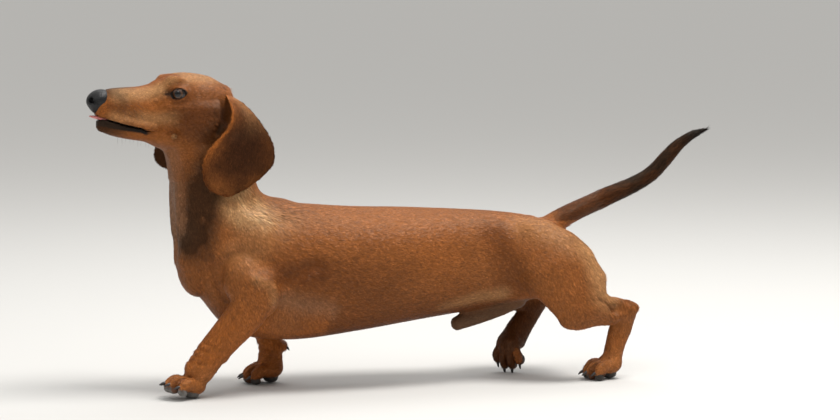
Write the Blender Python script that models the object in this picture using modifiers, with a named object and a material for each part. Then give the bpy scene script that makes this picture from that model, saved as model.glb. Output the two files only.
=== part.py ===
"""A smooth-haired dachshund at life size, caught in mid-stride, as a still museum model.

The animal is shaped as a distance field: tubes through named stations and balls for the
muscles, joined with soft blends, become one closed skin through Blender's own OpenVDB.
The skin is then parted into head, neck, torso, legs, paws and tail by thin straight cuts.
The eyes, nose, tongue, ears and claws are pieces of their own, set into it.

Sizes are in millimetres, and a place is (forward, left, up) from the point on the floor
under the middle of the dog. The meshes are scaled to metres as they are made. The dog
faces -X, its left side is -Y and up is +Z.
"""
import math

import bmesh
import bpy
import numpy as np
import openvdb
from mathutils import Matrix

MM = 0.001
# Moves the dog ahead until the origin is midway between the tips of its nose and tail
MIDDLE = 12.54

# Driving dimensions of this dog
WITHERS = 214.0
BODY_LENGTH = 512.0
CHEST_WIDTH = 128.0
FOREPAW_WIDTH = 43.0
HINDPAW_WIDTH = 38.0
EAR_THICKNESS = 3.6
EYE_RADIUS = 9.2
GAP = 0.3

# Grid steps of the skins, and the triangles each skin is thinned to
BODY_STEP = 3.0
HEAD_STEP = 1.6
PAW_STEP = 1.4
SMALL_STEP = 0.8
BODY_TRIANGLES = 4600
HEAD_TRIANGLES = 2600
PAW_TRIANGLES = 600
TAIL_TRIANGLES = 300
NOSE_TRIANGLES = 280
TONGUE_TRIANGLES = 110
CLAW_TRIANGLES = 36

FAR = 60.0
COARSE = 4


class Place:
    """A spot with its own forward, left and up. It turns its own points into the dog's."""

    def __init__(self, origin, yaw=0.0, pitch=0.0, roll=0.0, base=None):
        turn = (
            Matrix.Rotation(math.radians(yaw), 3, "Z")
            @ Matrix.Rotation(math.radians(-pitch), 3, "Y")
            @ Matrix.Rotation(math.radians(roll), 3, "X")
        )
        axes = np.array(turn)
        origin = np.array(origin, float)
        if base is not None:
            axes = base.axes @ axes
            origin = base.to_dog(origin)
        self.axes = axes
        self.origin = origin

    def to_dog(self, points):
        return np.asarray(points, float) @ self.axes.T + self.origin

    def to_own(self, points):
        return (points - self.origin) @ self.axes


DOG = Place((0, 0, 0))


def smooth_rows(rows, per_span=5):
    """Rows on a smooth curve through the given rows."""
    rows = np.array(rows, float)
    padded = np.vstack([2 * rows[0] - rows[1], rows, 2 * rows[-1] - rows[-2]])
    out = []
    for i in range(len(rows) - 1):
        a, b, c, d = padded[i : i + 4]
        for t in np.arange(per_span) / per_span:
            bend = (c - a) * t + (2 * a - 5 * b + 4 * c - d) * t**2 + (3 * b - a - 3 * c + d) * t**3
            out.append(b + 0.5 * bend)
    out.append(rows[-1])
    return np.array(out)


def unit(v):
    return v / np.maximum(np.linalg.norm(v, axis=-1, keepdims=True), 1e-9)


class Form:
    """A shape known by its distance, with the box it lies in."""

    def __init__(self, distance, low, high):
        self.distance = distance
        self.low = np.array(low, float)
        self.high = np.array(high, float)


def tube(stations, place=DOG, facing=(0, 0, 1), power=2.0, cap=None):
    """A tube through stations of (forward, left, up, half width, reach to the facing side, reach away)."""
    rows = smooth_rows(stations)
    centres = place.to_dog(rows[:, :3])
    radii = np.maximum(rows[:, 3:6], 0.3)
    tangents = unit(np.gradient(centres, axis=0))
    hint = np.array(facing, float) @ place.axes.T
    faces = unit(hint - (tangents @ hint)[:, None] * tangents)
    sides = np.cross(tangents, faces)
    reach = radii.max() if cap is None else max(radii.max(), cap)
    last = len(centres) - 2

    def distance(points):
        nearest = np.full(len(points), np.inf)
        offset = np.zeros((len(points), 3))
        at = np.zeros(len(points))
        for i in range(len(centres) - 1):
            span = centres[i + 1] - centres[i]
            t = np.clip((points - centres[i]) @ span / (span @ span), 0, 1)
            o = points - centres[i] - t[:, None] * span
            square = np.einsum("ij,ij->i", o, o)
            closer = square < nearest
            nearest[closer] = square[closer]
            offset[closer] = o[closer]
            at[closer] = i + t[closer]
        low = np.minimum(at.astype(int), last)
        share = (at - low)[:, None]

        def between(values):
            return values[low] * (1 - share) + values[low + 1] * share

        r = between(radii)
        across = np.einsum("ij,ij->i", offset, between(sides))
        up = np.einsum("ij,ij->i", offset, between(faces))
        along = np.einsum("ij,ij->i", offset, between(tangents))
        rise = np.where(up > 0, r[:, 1], r[:, 2])
        end = r.mean(axis=1) if cap is None else cap
        whole = np.abs(across / r[:, 0]) ** power + np.abs(up / rise) ** power + np.abs(along / end) ** power
        q = whole ** (1 / power)
        return np.where(q > 1e-3, np.sqrt(nearest) * (1 - 1 / np.maximum(q, 1e-3)), -r.min(axis=1))

    return Form(distance, centres.min(0) - reach, centres.max(0) + reach)


def ball(centre, radii, place=DOG, yaw=0.0, pitch=0.0, roll=0.0):
    """An ellipsoid with its radii along its own forward, left and up."""
    own = Place(centre, yaw, pitch, roll, base=place)
    radii = np.array(radii, float)

    def distance(points):
        p = own.to_own(points)
        k0 = np.linalg.norm(p / radii, axis=1)
        k1 = np.linalg.norm(p / radii**2, axis=1)
        return np.where(k1 > 1e-9, k0 * (k0 - 1) / np.maximum(k1, 1e-9), -radii.min())

    reach = radii.max()
    return Form(distance, own.origin - reach, own.origin + reach)


def blended(a, b, k):
    """The lesser of two distances, with a soft corner k wide."""
    if k <= 0:
        return np.minimum(a, b)
    h = np.clip(0.5 + 0.5 * (b - a) / k, 0, 1)
    return b * (1 - h) + a * h - k * h * (1 - h)


class Flesh:
    """Forms added, carved and grooved in turn, each with the width of its blend."""

    def __init__(self):
        self.steps = []

    def add(self, form, blend=8.0):
        self.steps.append((form, blend, "add"))

    def carve(self, form, blend=2.0):
        self.steps.append((form, blend, "carve"))

    def groove(self, form, depth):
        """Carves the form only as deep as asked under the surface made so far."""
        self.steps.append((form, depth, "groove"))

    def distance(self, points, margin=16.0):
        d = np.full(len(points), FAR)
        for form, blend, way in self.steps:
            room = blend + margin
            near = ((points > form.low - room) & (points < form.high + room)).all(axis=1)
            if not near.any():
                continue
            own = form.distance(points[near])
            if way == "add":
                d[near] = blended(d[near], own, blend)
            elif way == "carve":
                d[near] = -blended(-d[near], own, blend)
            else:
                d[near] = np.maximum(d[near], -np.maximum(own, -d[near] - blend))
        return d

    def bounds(self):
        added = [form for form, _, way in self.steps if way == "add"]
        return np.min([f.low for f in added], axis=0), np.max([f.high for f in added], axis=0)


def mirrored(side, row):
    """A row given for the left side, for the side asked for: 1 is left, -1 is right."""
    return (row[0], side * row[1], *row[2:])


# The torso as (share of the body's length back from the breast, top and bottom as shares
# of the withers' height, half width as a share of the chest's width)
BREAST = 248.0
TORSO_STATIONS = (
    (0.035, 0.790, 0.505, 0.24),
    (0.080, 0.915, 0.362, 0.35),
    (0.130, 0.980, 0.292, 0.42),
    (0.190, 1.000, 0.262, 0.47),
    (0.270, 0.985, 0.254, 0.49),
    (0.385, 0.963, 0.285, 0.49),
    (0.500, 0.952, 0.323, 0.46),
    (0.620, 0.935, 0.360, 0.39),
    (0.720, 0.915, 0.390, 0.345),
    (0.800, 0.880, 0.410, 0.33),
    (0.865, 0.800, 0.430, 0.31),
    (0.905, 0.690, 0.450, 0.25),
)
RIB_LINE = 0.55


def torso_forms(flesh):
    stations = []
    for share, top, bottom, width in TORSO_STATIONS:
        forward = BREAST - share * BODY_LENGTH
        low, high = bottom * WITHERS, top * WITHERS
        middle = low + RIB_LINE * (high - low)
        stations.append((forward, 0, middle, width * CHEST_WIDTH, high - middle, middle - low))
    flesh.add(tube(stations, power=2.15, cap=20), 6)
    # breastbone
    flesh.add(ball((233, 0, 137), (13, 16, 20), pitch=-20), 22)
    sheath = ((-74, 0, 65, 8, 10, 9), (-96, 0, 72, 9.5, 12, 10.5), (-124, 0, 80, 10, 10, 10), (-150, 0, 88, 10, 9, 8))
    flesh.add(tube(sheath, cap=8), 7)
    # ridge of the withers
    flesh.add(ball((150, 0, 203), (24, 15, 12)), 18)


def shoulder_forms(flesh, side):
    # shoulder blade, upper arm and the muscle behind it
    flesh.add(ball(mirrored(side, (168, 40, 168)), (20, 17, 42), pitch=-28), 16)
    flesh.add(ball(mirrored(side, (184, 50, 130)), (29, 21, 31), pitch=-35), 8)
    flesh.add(ball(mirrored(side, (163, 52, 124)), (22, 19, 25), pitch=20), 8)


def hip_forms(flesh, side):
    flesh.add(ball(mirrored(side, (-180, 34, 134)), (46, 27, 43), pitch=24), 18)
    flesh.add(ball(mirrored(side, (-160, 26, 172)), (20, 13, 12), pitch=-14), 16)


NECK_STATIONS = (
    (196, 0, 168, 52, 51, 50),
    (205, 0, 202, 45, 50, 50),
    (212, 0, 240, 40, 49, 48),
    (215, 0, 270, 37, 48, 45),
    (212, 0, 298, 34, 38, 38),
)


def neck_forms(flesh):
    flesh.add(tube(NECK_STATIONS, facing=(1, 0, 0), power=2.1, cap=20), 20)
    # windpipe and the two long muscles beside it
    for side in (1, -1):
        row = ((244, 13, 150, 9, 9, 9), (246, 16, 195, 11, 11, 11), (244, 20, 240, 11, 11, 11), (232, 30, 272, 9, 9, 9))
        flesh.add(tube([mirrored(side, r) for r in row], facing=(1, 0, 0), cap=9), 10)


HEAD = Place((200.7, 0, 305.3), yaw=6.0)
EYE = (57.0, 25.0, 31.8)
EYE_YAW = 58.0

# Skull with upper jaw, and the lower jaw, as (forward, top, bottom, half width)
UPPER_HEAD = (
    (-2, 41, -8, 27),
    (18, 51, -18, 35),
    (38, 55, -20, 37),
    (56, 54, -18, 33),
    (70, 48.5, -15, 27),
    (82, 43, -12, 23),
    (98, 40, -9, 20),
    (116, 39.4, -5, 17.5),
    (130, 38.4, -1, 15.5),
    (139, 36, 3, 12.5),
)
LOWER_JAW = (
    (30, -8, -30, 24),
    (60, -9, -27.5, 20),
    (84, -2, -23, 16.5),
    (106, 3, -19.5, 13.5),
    (124, 8, -15.5, 11),
    (137.5, 10, -10.5, 9),
)
# Line between the lips, from the corner of the mouth forward: (forward, up)
MOUTH = ((92, -9.5), (99, -6), (113, -3), (126, 1), (138, 5), (160, 9))
MOUTH_WIDTH = 1.1
CORNER_LENGTH = 12.0
MOUTH_DEPTH = 3.4


def head_stations(table):
    return [(f, 0, (top + low) / 2, width, (top - low) / 2, (top - low) / 2) for f, top, low, width in table]


def mouth_slit():
    """A thin level sheet that follows the line between the lips."""
    line = np.array(MOUTH)

    def distance(points):
        p = HEAD.to_own(points)
        level = np.interp(p[:, 0], line[:, 0], line[:, 1])
        opened = np.clip((p[:, 0] - line[0, 0]) / CORNER_LENGTH, -1, 1)
        return np.abs(p[:, 2] - level) - MOUTH_WIDTH * opened

    centre = HEAD.to_dog((126, 0, 0))
    return Form(distance, centre - 40, centre + 40)


def head_forms(flesh):
    flesh.add(tube(head_stations(UPPER_HEAD), HEAD, power=2.25, cap=8), 12)
    flesh.add(tube(head_stations(LOWER_JAW), HEAD, power=2.1, cap=8), 3)
    for side in (1, -1):
        # jaw muscle, cheek bone, brow and the lips' hanging edge
        flesh.add(ball(mirrored(side, (26, 24, -2)), (36, 16, 24), HEAD, pitch=12), 12)
        cheek = ((72, 21, 17, 4.5, 4.5, 4.5), (48, 31, 15, 5.5, 5.5, 5.5), (20, 35, 14, 5, 5, 5))
        flesh.add(tube([mirrored(side, r) for r in cheek], HEAD), 9)
        flesh.add(ball(mirrored(side, (60, 18, 43)), (12, 9, 8), HEAD, yaw=side * -20), 7)
        lip = ((84, 17, -5, 4.5, 5, 5), (104, 14.5, 0, 4.5, 5, 5), (124, 11.5, 5, 4.5, 5, 5), (138, 7, 10, 4.5, 5, 5))
        flesh.add(tube([mirrored(side, r) for r in lip], HEAD), 4)
        # lids
        flesh.add(ball(mirrored(side, EYE), (11.2, 11.2, 10.6), HEAD), 4)
    # hollows of the ears
    for side in (1, -1):
        flesh.carve(ball(mirrored(side, (3, 38, 8)), (9, 8, 12), HEAD), 4)
    # throat
    flesh.add(tube(((70, 0, -18, 17, 9, 9), (50, 0, -28, 24, 14, 14), (20, 0, -44, 30, 22, 22)), HEAD), 16)
    flesh.groove(mouth_slit(), MOUTH_DEPTH)
    # opening between the lips where the tongue shows
    flesh.carve(ball((147, 0, 7), (11, 8, 3.2), HEAD, pitch=18), 1.5)
    for side in (1, -1):
        opening = Place(mirrored(side, EYE), yaw=side * EYE_YAW, base=HEAD)
        flesh.carve(ball((11, 0, 0.2), (7, 11.5, 5.6), opening, roll=side * -5), 1.2)


# Legs as tubes of (forward, left, up, half width, reach to the front, reach to the back)
FORELEGS = {
    1: (
        (172, 57, 128, 17, 26, 24),
        (184, 55, 98, 18, 24, 23),
        (207, 51, 70, 16.5, 21, 20),
        (226, 47, 49, 15, 18.5, 18.5),
        (239, 44, 33, 15.5, 15.5, 19.5),
    ),
    -1: (
        (168, -57, 130, 17, 26, 24),
        (156, -56, 98, 18, 22, 21),
        (143, -49, 68, 16, 17.5, 17),
        (137, -43, 44, 13.5, 14.5, 14.5),
        (137, -41, 26, 14, 14.5, 14.5),
    ),
}
THIGHS = {
    1: ((-185, 42, 130, 22, 42, 44), (-194, 50, 104, 20, 35, 50), (-204, 54, 84, 17, 26, 40)),
    -1: ((-168, -40, 132, 22, 42, 50), (-150, -45, 112, 20, 32, 40), (-138, -48, 98, 17, 22, 26)),
}
SHANKS = {
    1: ((-192, 54, 82, 15, 17, 20), (-222, 53, 79, 14, 18, 17), (-246, 51, 79, 12, 19, 16), (-262, 48, 79, 9, 15, 14)),
    -1: ((-132, -48, 96, 15, 16, 18), (-160, -47, 87, 13, 15, 16), (-182, -45, 80, 11, 13, 14)),
}
HOCKS = {
    1: ((-268, 47, 81, 8, 11, 12), (-257, 46, 62, 9, 13, 17), (-251, 44, 40, 9.5, 11, 14), (-249, 42, 23, 11, 11, 12)),
    -1: ((-188, -45, 80, 9, 12, 12), (-175, -43, 66, 9, 14, 15), (-159, -40, 50, 11, 13, 19), (-153, -38, 38, 13, 13, 18)),
}


# Where each foreleg's dewclaw grows from, and which way it points
DEWCLAWS = {
    1: Place((223, 34, 35), yaw=168, pitch=-38),
    -1: Place((124, -36, 43), yaw=192, pitch=-20),
}


def leg_forms(flesh, side):
    forearm = FORELEGS[side]
    flesh.add(tube(forearm, facing=(1, 0, 0), cap=16), 6)
    elbow = forearm[1]
    flesh.add(ball((elbow[0] - 23, elbow[1], elbow[2] + 7), (10, 10, 13)), 7)
    flesh.add(ball(DEWCLAWS[side].origin, (6, 4.5, 5)), 4)
    wrist = forearm[3]
    flesh.add(ball((wrist[0] - 15, wrist[1], wrist[2] - 2), (6.5, 7, 7.5)), 4)
    flesh.add(tube(THIGHS[side], facing=(1, 0, 0), cap=24), 14)
    flesh.add(tube(SHANKS[side], facing=(0, 0, 1), cap=14), 8)
    hock = HOCKS[side]
    flesh.add(tube(hock, facing=(1, 0, 0), cap=10), 4)
    flesh.add(ball((hock[0][0] - 6, hock[0][1], hock[0][2] + 2), (7, 6.5, 6)), 5)
    # hollows between the tendon and the bone
    for inward in (-1, 1):
        flesh.carve(ball((hock[0][0] + 16, hock[0][1] + inward * 17, hock[0][2] + 3), (9, 7, 5), pitch=8), 6)


class Paw:
    """Where a paw stands, how wide it is and how far each of its four toes reaches."""

    def __init__(self, place, width, reach):
        self.place = place
        self.width = width
        self.toes = [(reach * share, across * width) for share, across in TOES]


# Each toe's reach as a share of the longest, and its place across as a share of the width
TOES = ((0.66, -0.345), (1.0, -0.122), (1.0, 0.122), (0.66, 0.345))
PAWS = {
    "forepaw_left": Paw(Place((255, 43, 2.5), yaw=16, pitch=18), FOREPAW_WIDTH, 22),
    "forepaw_right": Paw(Place((144, -40, 1.2), yaw=-6), FOREPAW_WIDTH, 22),
    "hindpaw_left": Paw(Place((-239, 42, 1.2), yaw=5), HINDPAW_WIDTH, 21),
    "hindpaw_right": Paw(Place((-157, -43, 25.4), yaw=46, pitch=-78), HINDPAW_WIDTH, 20),
}


def paw_forms(flesh, paw):
    half = paw.width / 2
    flesh.add(ball((-5, 0, 14.5), (16, half * 0.80, 11), paw.place), 7)
    for reach, left in paw.toes:
        toe = (
            (-6, left * 0.65, 15, half * 0.24, 6, 6),
            (reach * 0.40, left, 15.5, half * 0.27, 6.5, 8),
            (reach * 0.76, left * 1.05, 12, half * 0.28, 6.5, 9),
            (reach * 0.96, left * 1.08, 7.5, half * 0.25, 5, 5.5),
        )
        flesh.add(tube(toe, paw.place, cap=4), 1.4)
        flesh.add(ball((reach * 0.83, left * 1.06, 3.5), (6.4, half * 0.24, 4.6), paw.place), 1.2)
    flesh.add(ball((-7, 0, 4.6), (9, half * 0.52, 5.8), paw.place), 2.5)


def tail_forms(flesh):
    rows = (
        (-178, 0, 168, 17, 17, 17),
        (-207, 0, 187, 12.6, 12.8, 13.4),
        (-252, 0, 206.5, 10.8, 11, 12.4),
        (-290, 0, 221.5, 9.2, 9.4, 10.8),
        (-313, 0, 234.5, 8.7, 9.0, 10.2),
        (-332, 0, 253.5, 8.0, 8.2, 9.8),
        (-344, 0, 265.5, 6.8, 7.0, 8.6),
        (-360, 0, 276.5, 5.0, 5.2, 6.4),
        (-372, 0, 281.5, 3.4, 3.6, 4.2),
        (-380, 0, 283.5, 1.7, 1.7, 1.9),
    )
    flesh.add(tube(rows, cap=1.6), 6)


def dog_flesh():
    flesh = Flesh()
    torso_forms(flesh)
    neck_forms(flesh)
    for side in (1, -1):
        shoulder_forms(flesh, side)
        hip_forms(flesh, side)
        leg_forms(flesh, side)
    for paw in PAWS.values():
        paw_forms(flesh, paw)
    tail_forms(flesh)
    head_forms(flesh)
    return flesh


def nose_flesh():
    flesh = Flesh()
    flesh.add(ball((142, 0, 26), (14.2, 12.8, 10.8), HEAD, pitch=-20), 2)
    flesh.add(ball((140, 0, 17), (11, 7, 8), HEAD), 5)
    for side in (1, -1):
        flesh.carve(ball(mirrored(side, (152, 6.2, 25.5)), (5, 3.0, 3.2), HEAD, yaw=side * 25), 1.2)
        slit = ((152, 8, 24.5, 1.5, 1.5, 1.5), (146, 12, 21.5, 1.4, 1.4, 1.4), (139, 13.5, 20, 1.0, 1.0, 1.0))
        flesh.carve(tube([mirrored(side, r) for r in slit], HEAD), 0.8)
    # groove under the nostrils
    flesh.carve(tube(((156, 0, 22, 0.9, 1, 1), (151, 0, 11, 0.9, 1, 1)), HEAD), 0.8)
    return flesh


def tongue_flesh():
    flesh = Flesh()
    flesh.add(ball((141, 0, 5.4), (12.5, 7, 2.1), HEAD, pitch=12), 0)
    return flesh


def claw_flesh(place, root, size):
    """A claw that grows forward from its root and bends down to its tip."""
    forward, left, up = root
    rows = (
        (forward - 3, left, up, 2.3 * size, 2.6 * size, 2.4 * size),
        (forward + 4 * size, left, up - 0.6 * size, 1.9 * size, 2.1 * size, 1.9 * size),
        (forward + 9 * size, left, up - 3.6 * size, 0.8 * size, 0.8 * size, 0.8 * size),
    )
    flesh = Flesh()
    flesh.add(tube(rows, place, cap=0.8 * size), 0)
    return flesh


def sampled(flesh, low, high, step):
    """Distances on an even grid, worked out in full only in the coarse cells near the surface."""
    cells = np.ceil((high - low) / (step * COARSE)).astype(int)
    wide = step * COARSE

    def grid(start, counts, spacing):
        axes = [start[i] + spacing * np.arange(counts[i]) for i in range(3)]
        return np.stack(np.meshgrid(*axes, indexing="ij"), axis=-1)

    margin = 6 * step
    corners = grid(low, cells + 1, wide)
    rough = flesh.distance(corners.reshape(-1, 3), margin).reshape(cells + 1)
    close = np.abs(rough) < margin
    near = np.zeros(cells, bool)
    for i, j, k in np.ndindex(2, 2, 2):
        near |= close[i : i + cells[0], j : j + cells[1], k : k + cells[2]]
    fine = np.ones((COARSE,) * 3)
    values = np.kron(rough[:-1, :-1, :-1], fine)
    wanted = np.kron(near, fine) > 0
    where = np.argwhere(wanted)
    values[wanted] = flesh.distance(low + step * where, margin)
    return values


def softened(values, times):
    """A grid blurred a little along each axis."""
    for _ in range(times):
        for axis in range(3):
            ahead = np.roll(values, 1, axis)
            behind = np.roll(values, -1, axis)
            values = 0.5 * values + 0.25 * (ahead + behind)
    return values


def skin_of(flesh, step, box=None, blur=0):
    """Points and quads of the surface, inside a box where one is given."""
    low, high = flesh.bounds() if box is None else (np.array(box[0], float), np.array(box[1], float))
    if box is None:
        low, high = low - 3 * step, high + 3 * step
    values = softened(sampled(flesh, low, high, step), blur)
    if box is not None:
        for axis in range(3):
            ends = np.moveaxis(values, axis, 0)
            ends[:2] = np.maximum(ends[:2], step)
            ends[-2:] = np.maximum(ends[-2:], step)
    grid = openvdb.FloatGrid(FAR)
    grid.copyFromArray(values.astype(np.float32))
    points, quads = grid.convertToQuads(0.0)
    return low + step * np.asarray(points, float), np.asarray(quads)


EAR_ROWS = (
    # front edge (forward, up), rear edge (forward, up), left at the front, left at the rear, bulge
    (4, 29, -7, 25, 26, 22, 0),
    (5, 24, -13, 21, 36, 30, 1),
    (4, 12, -22, 11, 43, 38, 4),
    (12, -5, -33, -3, 48, 43, 5),
    (28, -21, -42, -18, 51, 45, 6),
    (40, -36, -47, -33, 52, 45, 5),
    (43, -52, -45, -48, 52, 45, 4),
    (40, -65, -34, -60, 51, 44.5, 3),
    (31, -75.5, -21, -69.5, 50, 44, 2),
    (15, -81.5, -4, -78, 49, 44, 1),
)
EAR_COLUMNS = 5
EAR_ROOT = 25.0
FAR_EAR_SWING = 22.0
FAR_EAR_LIFT = 0.2
FAR_EAR_FLARE = 12.0
EAR_RIM = 0.8
CLAW_SIZES = {"forepaw": 0.9, "hindpaw": 0.9}
DEWCLAW_SIZE = 0.75


def ear_rows(side):
    """Rows of points over the middle of the ear's flap, from its root to its tip."""
    rows = []
    for front, front_up, rear, rear_up, front_left, rear_left, bulge in EAR_ROWS:
        row = []
        for s in np.linspace(0, 1, EAR_COLUMNS):
            forward = front + s * (rear - front)
            up = front_up + s * (rear_up - front_up)
            left = front_left + s * (rear_left - front_left) + bulge * 4 * s * (1 - s)
            curl = max(0.0, 1 - 4 * s) * min(bulge, 4)
            if side < 0 and up < EAR_ROOT:
                drop = (EAR_ROOT - up) / 100
                forward += FAR_EAR_SWING * drop
                left += FAR_EAR_FLARE * drop
                up += FAR_EAR_LIFT * (EAR_ROOT - up)
            row.append((forward, side * (left + EAR_RIM * curl), up))
        rows.append(row)
    return rows


def mesh_object(name, points, faces, home):
    """An object from points in millimetres of the dog's own directions."""
    points = np.asarray(points, float)
    placed = np.column_stack([-points[:, 0] - MIDDLE, -points[:, 1], points[:, 2]]) * MM
    mesh = bpy.data.meshes.new(name)
    mesh.from_pydata(placed.tolist(), [], [list(map(int, f)) for f in faces])
    mesh.update()
    shape = bmesh.new()
    shape.from_mesh(mesh)
    bmesh.ops.recalc_face_normals(shape, faces=shape.faces)
    shape.to_mesh(mesh)
    shape.free()
    thing = bpy.data.objects.new(name, mesh)
    home.objects.link(thing)
    return thing


def bake(thing):
    """Keeps the result of an object's modifiers as its own mesh."""
    seen = thing.evaluated_get(bpy.context.evaluated_depsgraph_get())
    mesh = bpy.data.meshes.new_from_object(seen)
    thing.modifiers.clear()
    thing.data = mesh
    mesh.name = thing.name
    return thing


def thinned(thing, triangles):
    """The object with about as many triangles as asked."""
    now = sum(len(f.vertices) - 2 for f in thing.data.polygons)
    if now > triangles:
        thin = thing.modifiers.new("thin", "DECIMATE")
        thin.ratio = triangles / now
        bake(thing)
    return thing


def combined(thing, other, way):
    cut = thing.modifiers.new(way.lower(), "BOOLEAN")
    cut.operation = way
    cut.solver = "EXACT"
    cut.object = other
    return bake(thing)


def largest_piece(thing):
    """Leaves only the closed surface with the most room inside."""
    shape = bmesh.new()
    shape.from_mesh(thing.data)
    left = set(shape.faces)
    pieces = []
    while left:
        group = set()
        edge_of_group = [left.pop()]
        while edge_of_group:
            face = edge_of_group.pop()
            group.add(face)
            for edge in face.edges:
                for other in edge.link_faces:
                    if other in left:
                        left.remove(other)
                        edge_of_group.append(other)
        pieces.append(group)

    def room(group):
        total = 0.0
        for face in group:
            corners = [loop.vert.co for loop in face.loops]
            for i in range(1, len(corners) - 1):
                total += corners[0].dot(corners[i].cross(corners[i + 1]))
        return abs(total)

    pieces.sort(key=room)
    stray = [face for group in pieces[:-1] for face in group]
    bmesh.ops.delete(shape, geom=stray, context="FACES")
    shape.to_mesh(thing.data)
    shape.free()
    return thing


def swollen(thing, by, home):
    """A copy grown outward by a few tenths of a millimetre, to cut its own seat with."""
    copy = thing.copy()
    copy.data = thing.data.copy()
    copy.name = thing.name + "_seat"
    home.objects.link(copy)
    normals = [v.normal.copy() for v in copy.data.vertices]
    for vertex, normal in zip(copy.data.vertices, normals):
        vertex.co += normal * by * MM
    return copy


class Block:
    """A box that says which part of the skin is a node, with its faces in its own place."""

    def __init__(self, name, place, low, high):
        self.name = name
        self.place = place
        self.low = np.array(low, float)
        self.high = np.array(high, float)

    def solid(self, home, grow=0.0):
        low, high = self.low - grow, self.high + grow
        name = self.name + ("_room" if grow else "_block")
        found = home.objects.get(name)
        if found:
            return found
        corners = [
            (high[0] if i & 1 else low[0], high[1] if i & 2 else low[1], high[2] if i & 4 else low[2])
            for i in range(8)
        ]
        faces = ((0, 2, 3, 1), (4, 5, 7, 6), (0, 1, 5, 4), (2, 6, 7, 3), (0, 4, 6, 2), (1, 3, 7, 5))
        return mesh_object(name, self.place.to_dog(corners), faces, home)


HEAD_BLOCK = Block("head", Place((262, 0, 262), pitch=-10.5), (-160, -90, 0), (140, 90, 140))
NECK_BLOCK = Block("neck", Place((258, 0, 172), pitch=-21.5), (-150, -90, 0), (60, 90, 120))
TAIL_BLOCK = Block("tail", Place((-211, 0, 186), yaw=180, pitch=22), (0, -22, -17), (230, 22, 90))
LEG_BLOCKS = {
    "upper_arm_left": Block("upper_arm_left", Place((184, 0, 98), pitch=31), (-37, 31, -160), (35, 120, 50)),
    "upper_arm_right": Block("upper_arm_right", Place((156, 0, 98), pitch=-14), (-38, -120, -140), (38, -31, 50)),
    "thigh_left": Block("thigh_left", Place((-200, 0, 100), pitch=-8), (-120, 13, -130), (58, 120, 50)),
    "thigh_right": Block("thigh_right", Place((-170, 0, 100), pitch=12), (-110, -120, -130), (62, -13, 48)),
}
LOWER_BLOCKS = {
    "forearm_left": Block("forearm_left", Place((190, 0, 86), pitch=31), (-60, 20, -160), (60, 130, 0)),
    "forearm_right": Block("forearm_right", Place((150, 0, 84), pitch=-12), (-60, -130, -140), (60, -20, 0)),
    "hock_left": Block("hock_left", Place((-236, 0, 70), pitch=10), (-90, 10, -120), (0, 120, 34)),
    "hock_right": Block("hock_right", Place((-166, 0, 78), pitch=-10), (-90, -120, -120), (70, -10, 0)),
}
PAW_BLOCKS = {
    "forepaw_left": Block("forepaw_left", Place((238, 0, 33), pitch=31), (-60, 5, -80), (90, 100, 0)),
    "forepaw_right": Block("forepaw_right", Place((138, 0, 30), pitch=0), (-60, -100, -60), (70, -5, 0)),
    "hindpaw_left": Block("hindpaw_left", Place((-246, 0, 27), pitch=8), (-50, 5, -60), (70, 100, 0)),
    "hindpaw_right": Block("hindpaw_right", Place((-154, 0, 42), pitch=-16), (-60, -100, -80), (70, -5, 0)),
}
FLOOR_BLOCK = Block("floor", DOG, (-400, -120, -60), (400, 120, 0))
HEAD_BOX = ((150, -72, 205), (372, 72, 372))
TAIL_BOX = ((-392, -24, 160), (-196, 24, 300))
SHARP_ANGLE = math.radians(40)

PARTS_NAME = "Dachshund"

# Colour and roughness of each node, by the words its name holds
LOOKS = (
    ("claw", (0.020, 0.018, 0.018), 0.40),
    ("paw", (0.340, 0.110, 0.035), 0.65),
    ("nose", (0.012, 0.012, 0.014), 0.30),
    ("tongue", (0.480, 0.130, 0.130), 0.35),
    ("eye", (0.030, 0.012, 0.006), 0.08),
    ("ear", (0.100, 0.034, 0.014), 0.60),
    ("tail", (0.080, 0.034, 0.018), 0.65),
    ("", (0.230, 0.078, 0.026), 0.62),
)


def material_for(name):
    """The node's own Principled material in the colour of its part of the body."""
    colour, roughness = next((c, r) for word, c, r in LOOKS if word in name.replace("forearm", ""))
    look = bpy.data.materials.new(name)
    look.use_nodes = True
    shader = look.node_tree.nodes["Principled BSDF"]
    shader.inputs["Base Color"].default_value = (*colour, 1)
    shader.inputs["Roughness"].default_value = roughness
    return look


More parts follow.
